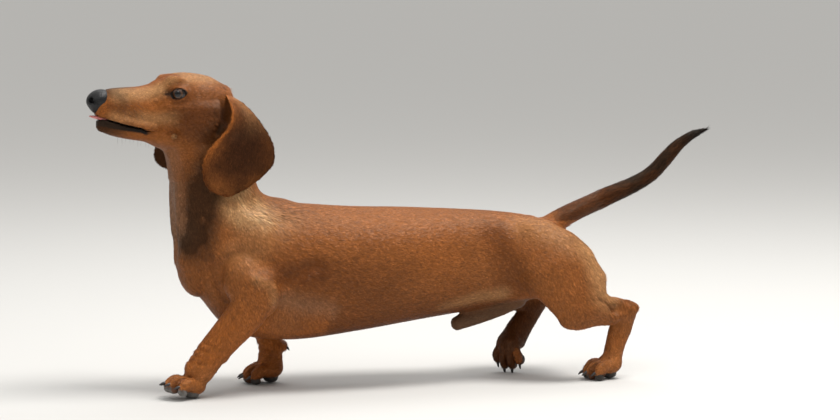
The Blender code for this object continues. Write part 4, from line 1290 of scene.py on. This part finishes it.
def blades(points, normals, lie, across, length, width, rise, clump, colours, spots):
    """Corners, faces, normals, colours and map of a set of tufts."""
    n = len(points)
    corners = np.zeros((n, BLADES, 5, 3))
    turned = np.zeros((n, BLADES, 5, 3))
    tints = np.ones((n, BLADES, 5, 4))
    marks = np.zeros((n, BLADES, 5, 2))
    for b in range(BLADES):
        start = RNG.uniform(-0.4, 0.4, n) * length
        aside = (b / (BLADES - 1) * 2 - 1 + RNG.uniform(-0.35, 0.35, n)) * 1.1 * (1 - 0.4 * clump)
        reach = length * RNG.uniform(0.75, 1.1, n)
        up = rise * RNG.uniform(0.5, 1.4, n)
        root = points + lie * start[:, None] + across * aside[:, None] - normals * 0.25
        drawn = across * (-aside * (0.1 + clump))[:, None]
        middle = root + lie * (reach * 0.5)[:, None] + drawn * 0.45
        middle = middle + normals * (0.30 + reach * up * 0.8)[:, None]
        tip = root + lie * reach[:, None] + drawn + normals * (0.27 + reach * up)[:, None]
        half = across * (width * RNG.uniform(0.38, 0.62, n))[:, None]
        lean = unit(np.cross(across, middle - root))
        lean *= np.sign(np.einsum("ij,ij->i", lean, normals))[:, None]
        soft = unit(normals * 0.8 + lean * 0.25 + across * RNG.normal(0, 0.16, n)[:, None])
        five = (root - half, root + half, middle + half * 0.8, middle - half * 0.8, tip)
        own = np.clip(1 + (0.26 + 0.2 * clump) * RNG.normal(0, 1, n), 0.35, 2.0)[:, None]
        for c, corner in enumerate(five):
            corners[:, b, c] = corner
            turned[:, b, c] = soft
            tints[:, b, c, :3] = colours * own * TIP_GLINT_ROOT_SHADE[c]
            marks[:, b, c] = spots + np.array(PATCH_CORNERS[c]) * PATCH / 2
    base = (np.arange(n * BLADES) * 5)[:, None]
    quads = base + np.array((3, 2, 1, 0))
    tips = base + np.array((4, 2, 3))
    flat = (turned.reshape(-1, 3), tints.reshape(-1, 4), marks.reshape(-1, 2))
    return corners.reshape(-1, 3), quads, tips, *flat


# Lightness of each of a blade's five corners, with painted shade at the root and a painted glint at the tip,
# and its place on the map
TIP_GLINT_ROOT_SHADE = (0.70, 0.70, 1.0, 1.0, 1.35)
PATCH_CORNERS = ((-1, -1), (1, -1), (1, 0.2), (-1, 0.2), (0, 1))
PATCH = 0.003


def built(name, points, groups, tints=None, normals=None, spots=None, look=None):
    """A mesh object from arrays, in metres and in the model's own directions."""
    where = np.column_stack([-points[:, 0] - MIDDLE, -points[:, 1], points[:, 2]]) * MM
    corners = np.concatenate([np.asarray(g).reshape(-1) for g in groups]).astype(np.int32)
    sizes = np.concatenate([np.full(len(g), np.asarray(g).shape[1]) for g in groups]).astype(np.int32)
    mesh = bpy.data.meshes.new(name)
    mesh.vertices.add(len(where))
    mesh.vertices.foreach_set("co", where.reshape(-1))
    mesh.loops.add(len(corners))
    mesh.loops.foreach_set("vertex_index", corners)
    mesh.polygons.add(len(sizes))
    mesh.polygons.foreach_set("loop_start", np.concatenate([[0], np.cumsum(sizes)[:-1]]).astype(np.int32))
    mesh.update(calc_edges=True)
    mesh.shade_smooth()
    if tints is not None:
        layer = mesh.color_attributes.new("tint", "FLOAT_COLOR", "POINT")
        layer.data.foreach_set("color", np.clip(tints, 0, 1).astype(np.float32).reshape(-1))
    if spots is not None:
        layer = mesh.uv_layers.new(name="OFBake")
        layer.data.foreach_set("uv", spots[corners].astype(np.float32).reshape(-1))
    if normals is not None:
        turned = unit(normals) * (-1, -1, 1)
        mesh.normals_split_custom_set_from_vertices(turned.tolist())
    thing = bpy.data.objects.new(name, mesh)
    bpy.context.scene.collection.objects.link(thing)
    if look is not None:
        mesh.materials.append(look)
    return thing


def coloured(colours):
    return np.column_stack([colours, np.ones(len(colours))])


EAR_SPAN = 7
EAR_ACROSS = 25
EAR_HALF = 1.15
EAR_INSET = 1.8
EAR_LEFT, EAR_RIGHT = 7, 8


def ear_grid(side):
    """Points over the middle of the flap, and the way out of it, row by row from the root."""
    rows = np.array(ear_rows(side), float)
    # the flap is drawn in a little from the edges of the solid's
    middle = rows[:, 2:3]
    wide = np.linalg.norm(rows[:, :1] - rows[:, -1:], axis=2, keepdims=True)
    rows[3:] = (middle + (rows - middle) * (1 - 2 * EAR_INSET / np.maximum(wide, 1)))[3:]
    down = np.stack([smooth_rows(rows[:, c], EAR_SPAN) for c in range(rows.shape[1])], axis=1)
    per = (EAR_ACROSS - 1) // (rows.shape[1] - 1)
    grid = np.stack([smooth_rows(row, per) for row in down])
    along = np.gradient(grid, axis=0)
    across = np.gradient(grid, axis=1)
    out = unit(np.cross(across, along))
    if (out[:, :, 1] * side).mean() < 0:
        out = -out
    flat = grid.reshape(-1, 3)
    ripple = (noise(flat + 90, 24) - 0.5) * 2.2 + (noise(flat + 300, 9) - 0.5) * 0.7
    t = np.linspace(0, 1, grid.shape[1])
    s = np.linspace(0, 1, grid.shape[0])
    # a soft ridge down the middle, a hollow behind the front edge, and the rim rolled outward
    shape = -0.9 * np.exp(-(((t - 0.22) / 0.10) ** 2)) + 0.8 * np.exp(-(((t - 0.45) / 0.18) ** 2))
    shape = shape + 0.9 * np.exp(-((t / 0.06) ** 2))
    grow = np.clip(s * 4, 0, 1)[:, None] * shape[None, :]
    waves = ripple.reshape(grid.shape[:2]) * np.clip(s * 5, 0, 1)[:, None]
    grid = grid + out * (waves + grow * 0.8)[..., None]
    return grid, out


def ear_shape(side):
    """Closed flap: outer face, inner face and a round edge. Returns points, quads, normals, lie and inner."""
    grid, out = ear_grid(side)
    rows, cols = grid.shape[:2]
    t = np.linspace(0, 1, cols)
    s = np.linspace(0, 1, rows)
    edge = np.minimum(np.minimum(t, 1 - t)[None, :] * 9, (1 - s)[:, None] * 14)
    half = EAR_HALF * np.sqrt(np.clip(edge, 0.16, 1))
    outer = grid + out * half[..., None]
    inner = grid - out * half[..., None]
    down = unit(np.gradient(grid, axis=0))
    points = np.concatenate([outer.reshape(-1, 3), inner.reshape(-1, 3)])
    index = np.arange(rows * cols).reshape(rows, cols)
    a, b, c, d = index[:-1, :-1], index[:-1, 1:], index[1:, 1:], index[1:, :-1]
    front = np.stack([a, b, c, d], axis=-1).reshape(-1, 4)
    back = front[:, ::-1] + rows * cols
    loop = np.concatenate([index[0], index[1:, -1], index[-1, -2::-1], index[-2:0:-1, 0]])
    after = np.roll(loop, -1)
    rim = np.stack([after, loop, loop + rows * cols, after + rows * cols], axis=-1)
    quads = np.concatenate([front, back, rim])
    dog = HEAD.to_dog(points)
    normals = point_normals(dog, quads)
    wanted = np.concatenate([out.reshape(-1, 3), -out.reshape(-1, 3)]) @ HEAD.axes.T
    if np.einsum("ij,ij->i", normals, wanted).mean() < 0:
        quads = quads[:, ::-1]
        normals = -normals
    lie = np.concatenate([down.reshape(-1, 3)] * 2) @ HEAD.axes.T
    across = np.tile(np.tile(t, rows), 2)
    down_share = np.tile(np.repeat(s, cols), 2)
    inside = np.repeat((False, True), rows * cols)
    return dog, quads, normals, lie, across, down_share, inside


def ear_markings(points, across, down_share, inside):
    colours = np.tile(np.array(EAR_BROWN), (len(points), 1))
    dark = spot(np.stack([across, down_share, across * 0], axis=1), (0.55, 0.42, 0), (0.34, 0.30, 1), 0.6)
    colours = mixed(colours, EAR_DARK, 0.75 * dark)
    colours = mixed(colours, MAHOGANY, 0.35 * ramp(noise(points, 20), 0.5, 0.9) * (1 - dark))
    colours = mixed(colours, MAHOGANY, 0.85 * (1 - ramp(down_share, 0.10, 0.40)) * (0.55 + 0.45 * (1 - dark)))
    colours = mixed(colours, MAHOGANY, 0.50 * ramp(down_share, 0.62, 0.95) * (1 - ramp(across, 0.3, 0.8)))
    # painted sheen on the upper rear of the ear
    colours = mixed(colours, GOLD_AND_SHEEN, 0.28 * (1 - ramp(down_share, 0.12, 0.48)) * ramp(across, 0.3, 0.7))
    fold = (1 - ramp(across, 0.03, 0.13)) * (1 - ramp(down_share, 0.45, 0.7))
    colours = mixed(colours, ORANGE, 0.75 * fold * ~inside)
    rim = np.maximum(1 - ramp(across, 0.02, 0.08), ramp(down_share, 0.93, 0.99))
    colours = mixed(colours, DEEP_AND_SHADE, 0.6 * rim * ramp(down_share, 0.45, 0.7))
    colours = mixed(colours, SOOTY_AND_SHADE, 0.7 * inside)
    return colours * (0.88 + 0.25 * noise(points, 4))[:, None]


def region_of(points):
    own = HEAD.to_own(points)
    low = points[:, 2] < 96
    left = points[:, 1] > 0
    region = np.where((own[:, 0] > -15) & (points[:, 2] > 250), 1, 0)
    region = np.where(low & (points[:, 0] > 90), np.where(left, 2, 3), region)
    region = np.where(low & (points[:, 0] < -110), np.where(left, 4, 5), region)
    return np.where((points[:, 0] < -212) & (points[:, 2] > 160), 6, region)


class Unwrap:
    """A flat map of the skin: each region seen along each of its six sides, packed in a square."""

    def __init__(self, points, normals, regions):
        charts = self.chart_of(normals, regions)
        self.boxes = {}
        for chart in np.unique(charts):
            flat = self.flattened(points[charts == chart], chart)
            self.boxes[int(chart)] = (flat.min(axis=0), flat.max(axis=0) - flat.min(axis=0))
        order = sorted(self.boxes, key=lambda c: -self.boxes[c][1][1])
        self.scale = 1 / 500
        while not self.packed(order):
            self.scale *= 0.96

    @staticmethod
    def chart_of(normals, regions):
        axis = np.abs(normals).argmax(axis=1)
        sign = normals[np.arange(len(normals)), axis] > 0
        return regions * 6 + axis * 2 + sign

    @staticmethod
    def flattened(points, chart):
        axis = chart % 6 // 2
        return points[:, [a for a in range(3) if a != axis]]

    def packed(self, order):
        gap = 0.008
        self.corners = {}
        x, y, tall = gap, gap, 0.0
        for chart in order:
            wide, high = self.boxes[chart][1] * self.scale
            if x + wide + gap > 1:
                x, y, tall = gap, y + tall + gap, 0.0
            if x + wide + gap > 1 or y + high + gap > 1:
                return False
            self.corners[chart] = np.array((x, y))
            x += wide + gap
            tall = max(tall, high)
        return True

    def spots(self, points, normals, regions):
        charts = self.chart_of(normals, regions)
        out = np.zeros((len(points), 2))
        for chart, (low, size) in self.boxes.items():
            here = charts == chart
            flat = np.clip(self.flattened(points[here], chart) - low, 0, size)
            out[here] = flat * self.scale + self.corners[chart]
        return out


def scattered(points, faces, wanted):
    """Spots spread over triangles, with as many on each as wanted per square millimetre."""
    a, b, c = points[faces[:, 0]], points[faces[:, 1]], points[faces[:, 2]]
    area = 0.5 * np.linalg.norm(np.cross(b - a, c - a), axis=1)
    total = np.concatenate([[0], np.cumsum(area * wanted)])
    count = int(total[-1])
    at = (np.arange(count) + RNG.random(count)) * total[-1] / count
    face = np.clip(np.searchsorted(total, at, side="right") - 1, 0, len(faces) - 1)
    u, v = RNG.random((2, count))
    fold = u + v > 1
    u, v = np.where(fold, 1 - u, u), np.where(fold, 1 - v, v)
    return face, np.stack([1 - u - v, u, v], axis=1)


def at_spots(values, faces, face, weights):
    return np.einsum("ij,ijk->ik", weights, values[faces[face]])


def halves_of(quads, triangles):
    return np.vstack([quads[:, [0, 1, 2]], quads[:, [0, 2, 3]], triangles])


def feed(tree, node, inputs):
    """Gives each input named a value, or another node's output."""
    for name, value in inputs.items():
        if isinstance(value, bpy.types.NodeSocket):
            tree.links.new(value, node.inputs[name])
        else:
            node.inputs[name].default_value = value


def node_in(tree, kind, place, inputs=None, **settings):
    node = tree.nodes.new(kind)
    node.location = place
    for key, value in settings.items():
        setattr(node, key, value)
    feed(tree, node, inputs or {})
    return node


def principled(name, colour, roughness, specular=0.5):
    look = bpy.data.materials.new(name)
    look.use_nodes = True
    tree = look.node_tree
    shader = tree.nodes["Principled BSDF"]
    feed(tree, shader, {"Base Color": (*colour, 1), "Roughness": roughness, "Specular IOR Level": specular})
    return look, tree, shader


def attribute(tree, name, place):
    return node_in(tree, "ShaderNodeAttribute", place, attribute_name=name).outputs["Color"]


def own_places(tree, place):
    return node_in(tree, "ShaderNodeTexCoord", place).outputs["Object"]


def streaks(tree, scale, place):
    """Noise drawn out along one direction of the object."""
    where = own_places(tree, (place[0] - 600, place[1]))
    drawn = {"Vector": where, "Scale": scale}
    stretch = node_in(tree, "ShaderNodeMapping", (place[0] - 400, place[1]), drawn)
    grain = {"Vector": stretch.outputs["Vector"], "Scale": 1.0, "Detail": 3.0}
    return node_in(tree, "ShaderNodeTexNoise", place, grain).outputs["Fac"]


def bumps(tree, height, strength, depth, place):
    """The surface's direction, tilted by heights."""
    values = {"Height": height, "Strength": strength, "Distance": depth}
    return node_in(tree, "ShaderNodeBump", place, values).outputs["Normal"]


def blend_of(tree, share, first, second, place):
    """The first value where the share is nothing, and the second where it is one."""
    inputs = {"Factor": share, 2: first, 3: second}
    return node_in(tree, "ShaderNodeMix", place, inputs, data_type="FLOAT").outputs[0]


FUR_SHINE = (1.0, 0.84, 0.66, 1)


def skin_look():
    """Short hairs lying level or upright, and wet pores where the skin is bare."""
    look, tree, shader = principled("coat_skin", MAHOGANY, 0.6, 0.16)
    tint = attribute(tree, "tint", (-900, 300))
    ways = attribute(tree, "ways", (-900, -500))
    split = node_in(tree, "ShaderNodeSeparateColor", (-700, -500), {"Color": ways})
    bare = split.outputs["Green"]
    level = streaks(tree, (260, 1500, 1500), (-900, 0))
    upright = streaks(tree, (1500, 1500, 260), (-900, -250))
    fur = blend_of(tree, split.outputs["Red"], level, upright, (-500, -100))
    cells = {"Scale": 900, "Vector": own_places(tree, (-1100, -800))}
    pores = node_in(tree, "ShaderNodeTexVoronoi", (-900, -800), cells)
    height = blend_of(tree, bare, fur, pores.outputs["Distance"], (-300, -300))
    span = {"Value": fur, "From Min": 0.3, "From Max": 0.7, "To Min": 0.72, "To Max": 1.12}
    shade = node_in(tree, "ShaderNodeMapRange", (-300, 100), span)
    scaled = {0: tint, "Scale": shade.outputs["Result"]}
    darker = node_in(tree, "ShaderNodeVectorMath", (-100, 300), scaled, operation="SCALE")
    gloss = {"Value": bare, "To Min": 0.6, "To Max": 0.34}
    wet = node_in(tree, "ShaderNodeMapRange", (-300, -600), gloss)
    feed(tree, shader, {
        "Specular Tint": FUR_SHINE,
        "Base Color": darker.outputs[0],
        "Roughness": wet.outputs["Result"],
        "Normal": bumps(tree, height, 0.7, 0.0005, (-100, -300)),
    })
    return look


def fur_look(name, roughness=0.46, specular=0.36):
    look, tree, shader = principled(name, MAHOGANY, roughness, specular)
    feed(tree, shader, {"Specular Tint": FUR_SHINE, "Base Color": attribute(tree, "tint", (-400, 200))})
    return look


def pebbled(name, colour, roughness, scale, depth, specular=0.5):
    look, tree, shader = principled(name, colour, roughness, specular)
    size = {"Scale": scale, "Vector": own_places(tree, (-900, -200))}
    cells = node_in(tree, "ShaderNodeTexVoronoi", (-700, -200), size, feature="SMOOTH_F1")
    feed(tree, shader, {"Normal": bumps(tree, cells.outputs["Distance"], 0.9, depth, (-300, -200))})
    return look


def horn(name, colour):
    look, tree, shader = principled(name, colour, 0.38, 0.5)
    grain = streaks(tree, (700, 700, 160), (-700, 0))
    feed(tree, shader, {"Normal": bumps(tree, grain, 0.5, 0.0003, (-300, -200))})
    return look


EYE_RINGS = (
    # angle from the gaze, colour
    (0, (0.001, 0.001, 0.001)), (17, (0.001, 0.001, 0.001)), (21, (0.014, 0.006, 0.003)),
    (28, (0.072, 0.028, 0.010)), (36, (0.050, 0.019, 0.007)), (42, (0.008, 0.005, 0.004)),
    (50, (0.016, 0.011, 0.010)), (62, (0.050, 0.036, 0.032)), (180, (0.060, 0.040, 0.034)),
)
GAZE_YAW = 57.0
GAZE_PITCH = 2.0


def eyeball(side, name, look):
    """A ball with its iris round the line of sight and a low dome over it."""
    angles = np.array([a for a, _ in EYE_RINGS], float)
    shades = np.array([c for _, c in EYE_RINGS])
    gaze = Place(mirrored(side, EYE), yaw=side * GAZE_YAW, pitch=GAZE_PITCH, base=HEAD)
    rings, around = 72, 72
    turn = np.arange(around) * 2 * math.pi / around
    points, tints = [], []
    for ring in range(1, rings):
        angle = 180 * (ring / rings) ** 1.3
        radius = EYE_RADIUS - 0.1 + 0.35 * float(1 - ramp(np.array([angle]), 20, 40)[0])
        a = math.radians(angle)
        ahead = np.full(around, math.cos(a))
        circle = np.stack([ahead, math.sin(a) * np.cos(turn), math.sin(a) * np.sin(turn)], 1)
        points.append(gaze.to_dog(circle * radius))
        colour = np.array([np.interp(angle, angles, shades[:, k]) for k in range(3)])
        fibre = 1 + 0.25 * np.sin(turn * 37) * np.sin(turn * 11 + 2) * (15 < angle < 34)
        tints.append(colour[None, :] * fibre[:, None])
    front, back = (gaze.to_dog(np.array([[end, 0, 0]])) for end in (EYE_RADIUS + 0.25, -EYE_RADIUS))
    points = [front, *points, back]
    tints = [shades[:1], *tints, shades[-1:]]
    points, tints = np.concatenate(points), np.concatenate(tints)
    start = 1 + np.arange(rings - 2)[:, None] * around
    i = np.arange(around)
    j = (i + 1) % around
    quads = np.stack([start + i, start + j, start + around + j, start + around + i], axis=-1).reshape(-1, 4)
    last = 1 + (rings - 2) * around
    caps = np.concatenate([
        np.stack([np.zeros(around, int), j + 1, i + 1], axis=1),
        np.stack([np.full(around, len(points) - 1), last + i, last + j], axis=1),
    ])
    if (point_normals(points, quads) * (points - gaze.origin)).sum() < 0:
        quads, caps = quads[:, ::-1], caps[:, ::-1]
    return built(name, points, [quads, caps], coloured(tints), look=look)


def eye_look():
    look, tree, shader = principled("eyes", (0.03, 0.012, 0.006), 0.35, 0.1)
    tint = attribute(tree, "tint", (-400, 200))
    feed(tree, shader, {"Coat Weight": 1.0, "Coat Roughness": 0.02, "Base Color": tint})
    return look


def outward(points, quads, flesh):
    """The quads turned so that they face out of the flesh."""
    normals = point_normals(points, quads)
    probe = slice(0, len(points), max(1, len(points) // 300))
    beside = 0.5 * normals[probe]
    out = flesh.distance(points[probe] + beside) - flesh.distance(points[probe] - beside)
    return quads if out.mean() > 0 else quads[:, ::-1]


def small_piece(name, flesh, step, look, drop=0.0):
    points, quads = skin_of(flesh, step)
    quads = outward(points, quads, flesh)
    points[:, 2] = np.maximum(points[:, 2], drop)
    piece = built(name + "_finish", points, [quads], look=look)
    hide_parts(name)
    return placed(piece)


def placed(piece):
    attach(piece, "root")
    return piece


def hairs(name, roots, ways, lengths, thick, look, droop=0.25):
    """Long thin hairs of three sides that taper to a point."""
    points, quads, tips = [], [], []
    steps = 5
    for root, way, length in zip(roots, ways, lengths):
        way = unit(np.array(way, float))
        side = unit(np.cross(way, (0.1, 0.2, 1.0)))
        up = np.cross(side, way)
        start = sum(len(p) for p in points)
        for k in range(steps):
            t = k / steps
            centre = root + way * length * t + np.array((0, 0, -droop * length * t * t))
            radius = thick * (1 - t) + 0.02
            points.append(np.array([centre + radius * (side * math.cos(a) + up * math.sin(a))
                                    for a in (0.0, 2.1, 4.2)]))
        points.append((root + way * length + np.array((0, 0, -droop * length)))[None, :])
        for k in range(steps - 1):
            for c in range(3):
                here, after = start + 3 * k + c, start + 3 * k + (c + 1) % 3
                quads.append((here, after, after + 3, here + 3))
        last = start + 3 * (steps - 1)
        for c in range(3):
            tips.append((last + c, last + (c + 1) % 3, last + 3))
    return built(name, np.concatenate(points), [np.array(quads), np.array(tips)], look=look)


FLOOR_REACH = 60.0


def stage_floor():
    """A plain pale floor that reaches past every view."""
    mesh = bpy.data.meshes.new("floor")
    corners = [(x * FLOOR_REACH, y * FLOOR_REACH, 0) for x, y in ((-1, -1), (1, -1), (1, 1), (-1, 1))]
    mesh.from_pydata(corners, [], [(0, 1, 2, 3)])
    floor = bpy.data.objects.new("floor", mesh)
    bpy.context.scene.collection.objects.link(floor)
    mesh.materials.append(principled("floor", (0.60, 0.60, 0.59), 0.85, 0.2)[0])


# Lamps as (name, place, aim, size, power, colour), in metres and watts
LAMPS = (
    ("key", (0.70, -0.50, 2.4), (0, 0, 0.18), (1.0, 1.0), 60, (1.0, 0.97, 0.93)),
    ("fill", (-1.5, -1.9, 2.1), (-0.2, 0, 0.18), (0.9, 0.9), 9, (1.0, 0.98, 0.96)),
    ("rim", (0.5, 1.0, 1.9), (0, 0, 0.2), (1.8, 0.8), 10, (1, 1, 1)),
)
# Colour of the sky, and its strength at the horizon and overhead
SKY = (1.0, 0.98, 0.95, 1)
SKY_AT_HORIZON = 0.20
SKY_OVERHEAD = 1.05


def softbox(name, place, aim, size, power, colour):
    lamp = bpy.data.lights.new(name, "AREA")
    lamp.shape = "RECTANGLE"
    lamp.size, lamp.size_y = size
    lamp.energy = power
    lamp.color = colour
    thing = bpy.data.objects.new(name, lamp)
    thing.location = place
    toward = np.array(aim) - np.array(place)
    yaw = math.atan2(toward[1], toward[0])
    pitch = math.acos(-toward[2] / np.linalg.norm(toward))
    thing.rotation_euler = (pitch, 0, yaw - math.pi / 2)
    bpy.context.scene.collection.objects.link(thing)


def lights():
    world = bpy.data.worlds.new("studio")
    world.use_nodes = True
    tree = world.node_tree
    way = node_in(tree, "ShaderNodeTexCoord", (-800, 0)).outputs["Generated"]
    split = node_in(tree, "ShaderNodeSeparateXYZ", (-600, 0), {"Vector": way})
    span = {"Value": split.outputs["Z"], "To Min": SKY_AT_HORIZON, "To Max": SKY_OVERHEAD}
    rise = node_in(tree, "ShaderNodeMapRange", (-400, 0), span)
    feed(tree, tree.nodes["Background"], {"Color": SKY, "Strength": rise.outputs["Result"]})
    bpy.context.scene.world = world
    bpy.context.scene.view_settings.view_transform = "Standard"
    for lamp in LAMPS:
        softbox(*lamp)


# Lens and sensor in millimetres, place in metres, turns in degrees
LENS = 119.2547
SENSOR = 36.0
CAMERA_PLACE = (-0.88372, -3.03817, 0.50059)
CAMERA_DOWN = 5.45301
CAMERA_TURN = -16.52017


def camera():
    lens = bpy.data.cameras.new("camera")
    lens.lens = LENS
    lens.sensor_width = SENSOR
    thing = bpy.data.objects.new("camera", lens)
    thing.location = CAMERA_PLACE
    thing.rotation_euler = (math.radians(90 - CAMERA_DOWN), 0, math.radians(CAMERA_TURN))
    bpy.context.scene.collection.objects.link(thing)
    bpy.context.scene.camera = thing


FLESH_NODES = ("head", "neck", "torso", "tail") + tuple(
    f"{limb}_{side}"
    for limb in ("upper_arm", "forearm", "forepaw", "thigh", "hock", "hindpaw")
    for side in ("left", "right")
)
TUFTS_PER_PIECE = 13000
# Fur darker than this shines less
DARK_FUR = 0.085


SIDES = ((1, "left"), (-1, "right"))
# The skin between the tufts is this much darker than they are
SKIN_SHADE = 0.88


def skin_piece(points, quads, triangles, normals, bald):
    """The skin, tinted, with the way its hairs lie and where it is bare as a second attribute."""
    shade = (SKIN_SHADE + (1 - SKIN_SHADE) * bald)[:, None]
    tints = coloured(markings(points, normals) * shade)
    skin = built("skin", points, [quads, triangles], tints, look=skin_look())
    upright = ramp(np.abs(lie_of(points, normals)[:, 2]), 0.4, 0.8)
    bare = np.maximum(bald, 0.5 * bare_places(points))
    packed = np.stack([upright, bare, np.zeros(len(points)), np.ones(len(points))], axis=1)
    ways = skin.data.color_attributes.new("ways", "FLOAT_COLOR", "POINT")
    ways.data.foreach_set("color", packed.astype(np.float32).reshape(-1))
    skin.data.color_attributes.active_color_index = 0
    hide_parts(*FLESH_NODES)
    placed(skin)


def ear_pieces(ears):
    look = fur_look("ear_skin", 0.55, 0.12)
    for side, word in SIDES:
        points, quads, _, _, across, down_share, inside = ears[side]
        colours = ear_markings(points, across, down_share, inside)
        ear = built("ear_" + word + "_skin", points, [quads], coloured(colours * SKIN_SHADE), look=look)
        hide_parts("ear_" + word)
        placed(ear)


def flat_map(points, normals, ears):
    """One map for the skin and both ears."""
    every = [(points, normals, region_of(points))]
    for side, region in ((1, EAR_LEFT), (-1, EAR_RIGHT)):
        every.append((ears[side][0], ears[side][2], np.full(len(ears[side][0]), region)))
    return Unwrap(*(np.concatenate(column) for column in zip(*every)))


def grow_body(coat, dark_coat, skin, bald, flat):
    points, quads, triangles, normals = skin
    faces = halves_of(quads, triangles)
    length, width, dense, clump = fur_of(points[faces].mean(axis=1))
    furred = bald[faces].mean(axis=1) < 0.5
    face, weights = scattered(points, faces, dense * furred)
    spots = at_spots(points, faces, face, weights)
    own_normals = unit(at_spots(normals, faces, face, weights))
    own_lie = lie_of(spots, own_normals)
    colours = markings(spots, own_normals)
    places = flat.spots(spots, own_normals, region_of(spots))
    dark = colours.max(axis=1) < DARK_FUR
    for part, pick in ((coat, ~dark), (dark_coat, dark)):
        kept = face[pick]
        part.grow(spots[pick], own_normals[pick], own_lie[pick], length[kept], width[kept],
                  clump[kept], colours[pick], places[pick], BODY_LIFT)


def grow_ear(coat, ear, region, flat):
    points, quads, normals, lie, across, down_share, inside = ear
    length, width, outer_tufts = EAR_FUR
    faces = halves_of(quads, np.zeros((0, 3), int))
    hidden = (down_share < 0.08)[faces].any(axis=1)
    tufts = np.where(inside[faces].all(axis=1), EAR_INNER_TUFTS, outer_tufts)
    face, weights = scattered(points, faces, np.where(hidden, 0.0, tufts))
    spots = at_spots(points, faces, face, weights)
    own_normals = unit(at_spots(normals, faces, face, weights))
    own_lie = unit(at_spots(lie, faces, face, weights))
    own_lie = unit(own_lie - own_normals * np.einsum("ij,ij->i", own_lie, own_normals)[:, None])
    s = at_spots(np.stack([across, down_share, inside * 1.0], axis=1), faces, face, weights)
    colours = ear_markings(spots, s[:, 0], s[:, 1], s[:, 2] > 0.5)
    n = len(spots)
    places = flat.spots(spots, own_normals, np.full(n, region))
    coat.grow(spots, own_normals, own_lie, np.full(n, length), np.full(n, width),
              np.full(n, EAR_CLUMP), colours, places, EAR_LIFT)


def coat_pieces(kind, tufts, look):
    for number, parts in enumerate(tufts.meshes(TUFTS_PER_PIECE), 1):
        corners, four, three, turned, tinted, marks = parts
        corners[:, 2] = np.maximum(corners[:, 2], 0.05)
        placed(built(f"{kind}_{number}", corners, [four, three], tinted, turned, marks, look))


def dog():
    points, quads, triangles = whole_skin()
    normals = point_normals(points, quads, triangles)
    bald = bald_places(points, normals)
    skin_piece(points, quads, triangles, normals, bald)
    ears = {side: ear_shape(side) for side, _ in SIDES}
    ear_pieces(ears)
    flat = flat_map(points, normals, ears)
    coat, dark_coat, ear_coat = Coat(), Coat(), Coat()
    grow_body(coat, dark_coat, (points, quads, triangles, normals), bald, flat)
    for side, region in ((1, EAR_LEFT), (-1, EAR_RIGHT)):
        grow_ear(ear_coat, ears[side], region, flat)
    dull = fur_look("dark_fur", 0.5, 0.12)
    coat_pieces("coat", coat, fur_look("fur"))
    coat_pieces("dark_coat", dark_coat, dull)
    coat_pieces("ear_coat", ear_coat, dull)


def eyes():
    wet = eye_look()
    for side, word in SIDES:
        ball_piece = eyeball(side, f"eye_{word}_ball", wet)
        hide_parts("eye_" + word)
        placed(ball_piece)


def nose_and_tongue():
    leather = pebbled("nose_leather", (0.008, 0.008, 0.009), 0.36, 1100, 0.0004, 0.32)
    small_piece("nose", nose_flesh(), 0.55, leather)
    moist = pebbled("tongue_flesh", (0.50, 0.16, 0.15), 0.30, 1500, 0.0002)
    small_piece("tongue", tongue_flesh(), 0.6, moist)


def claws():
    black = horn("claw_horn", (0.030, 0.026, 0.025))
    for name, paw in PAWS.items():
        for number, (reach, left) in enumerate(paw.toes, 1):
            claw = claw_flesh(paw.place, (reach + 0.5, left * 1.08, 8.5), CLAW_SIZE)
            small_piece(f"{name}_claw_{number}", claw, 0.5, black, 0.02)
    for side, word in SIDES:
        dewclaw = claw_flesh(DEWCLAWS[side], (3.5, 0, 0), DEWCLAW_SIZE)
        small_piece(f"forearm_{word}_dewclaw", dewclaw, 0.5, black)


def whiskers():
    roots, ways, lengths = [], [], []
    for side in (1, -1):
        for row in range(3):
            for k in range(5):
                own = (128 - k * 6 - row * 2, side * (12.5 + k * 1.1), 21 - row * 5.5)
                roots.append(HEAD.to_dog(own))
                ways.append(np.array((-0.35 + 0.12 * row, side * 1.0, -0.15 - 0.15 * row)) @ HEAD.axes.T)
                lengths.append(7 + 2.5 * k + RNG.uniform(0, 4))
        for k in range(5):
            own = (118 - k * 9, side * 7, -14 - k * 0.8)
            roots.append(HEAD.to_dog(own))
            ways.append(np.array((0.1, side * 0.3, -1)) @ HEAD.axes.T)
            lengths.append(7 + RNG.uniform(0, 5))
    dark = principled("whiskers", (0.03, 0.02, 0.017), 0.4)[0]
    placed(hairs("whiskers", roots, ways, lengths, 0.16, dark))


dog()
eyes()
nose_and_tongue()
claws()
whiskers()
stage_floor()
lights()
camera()
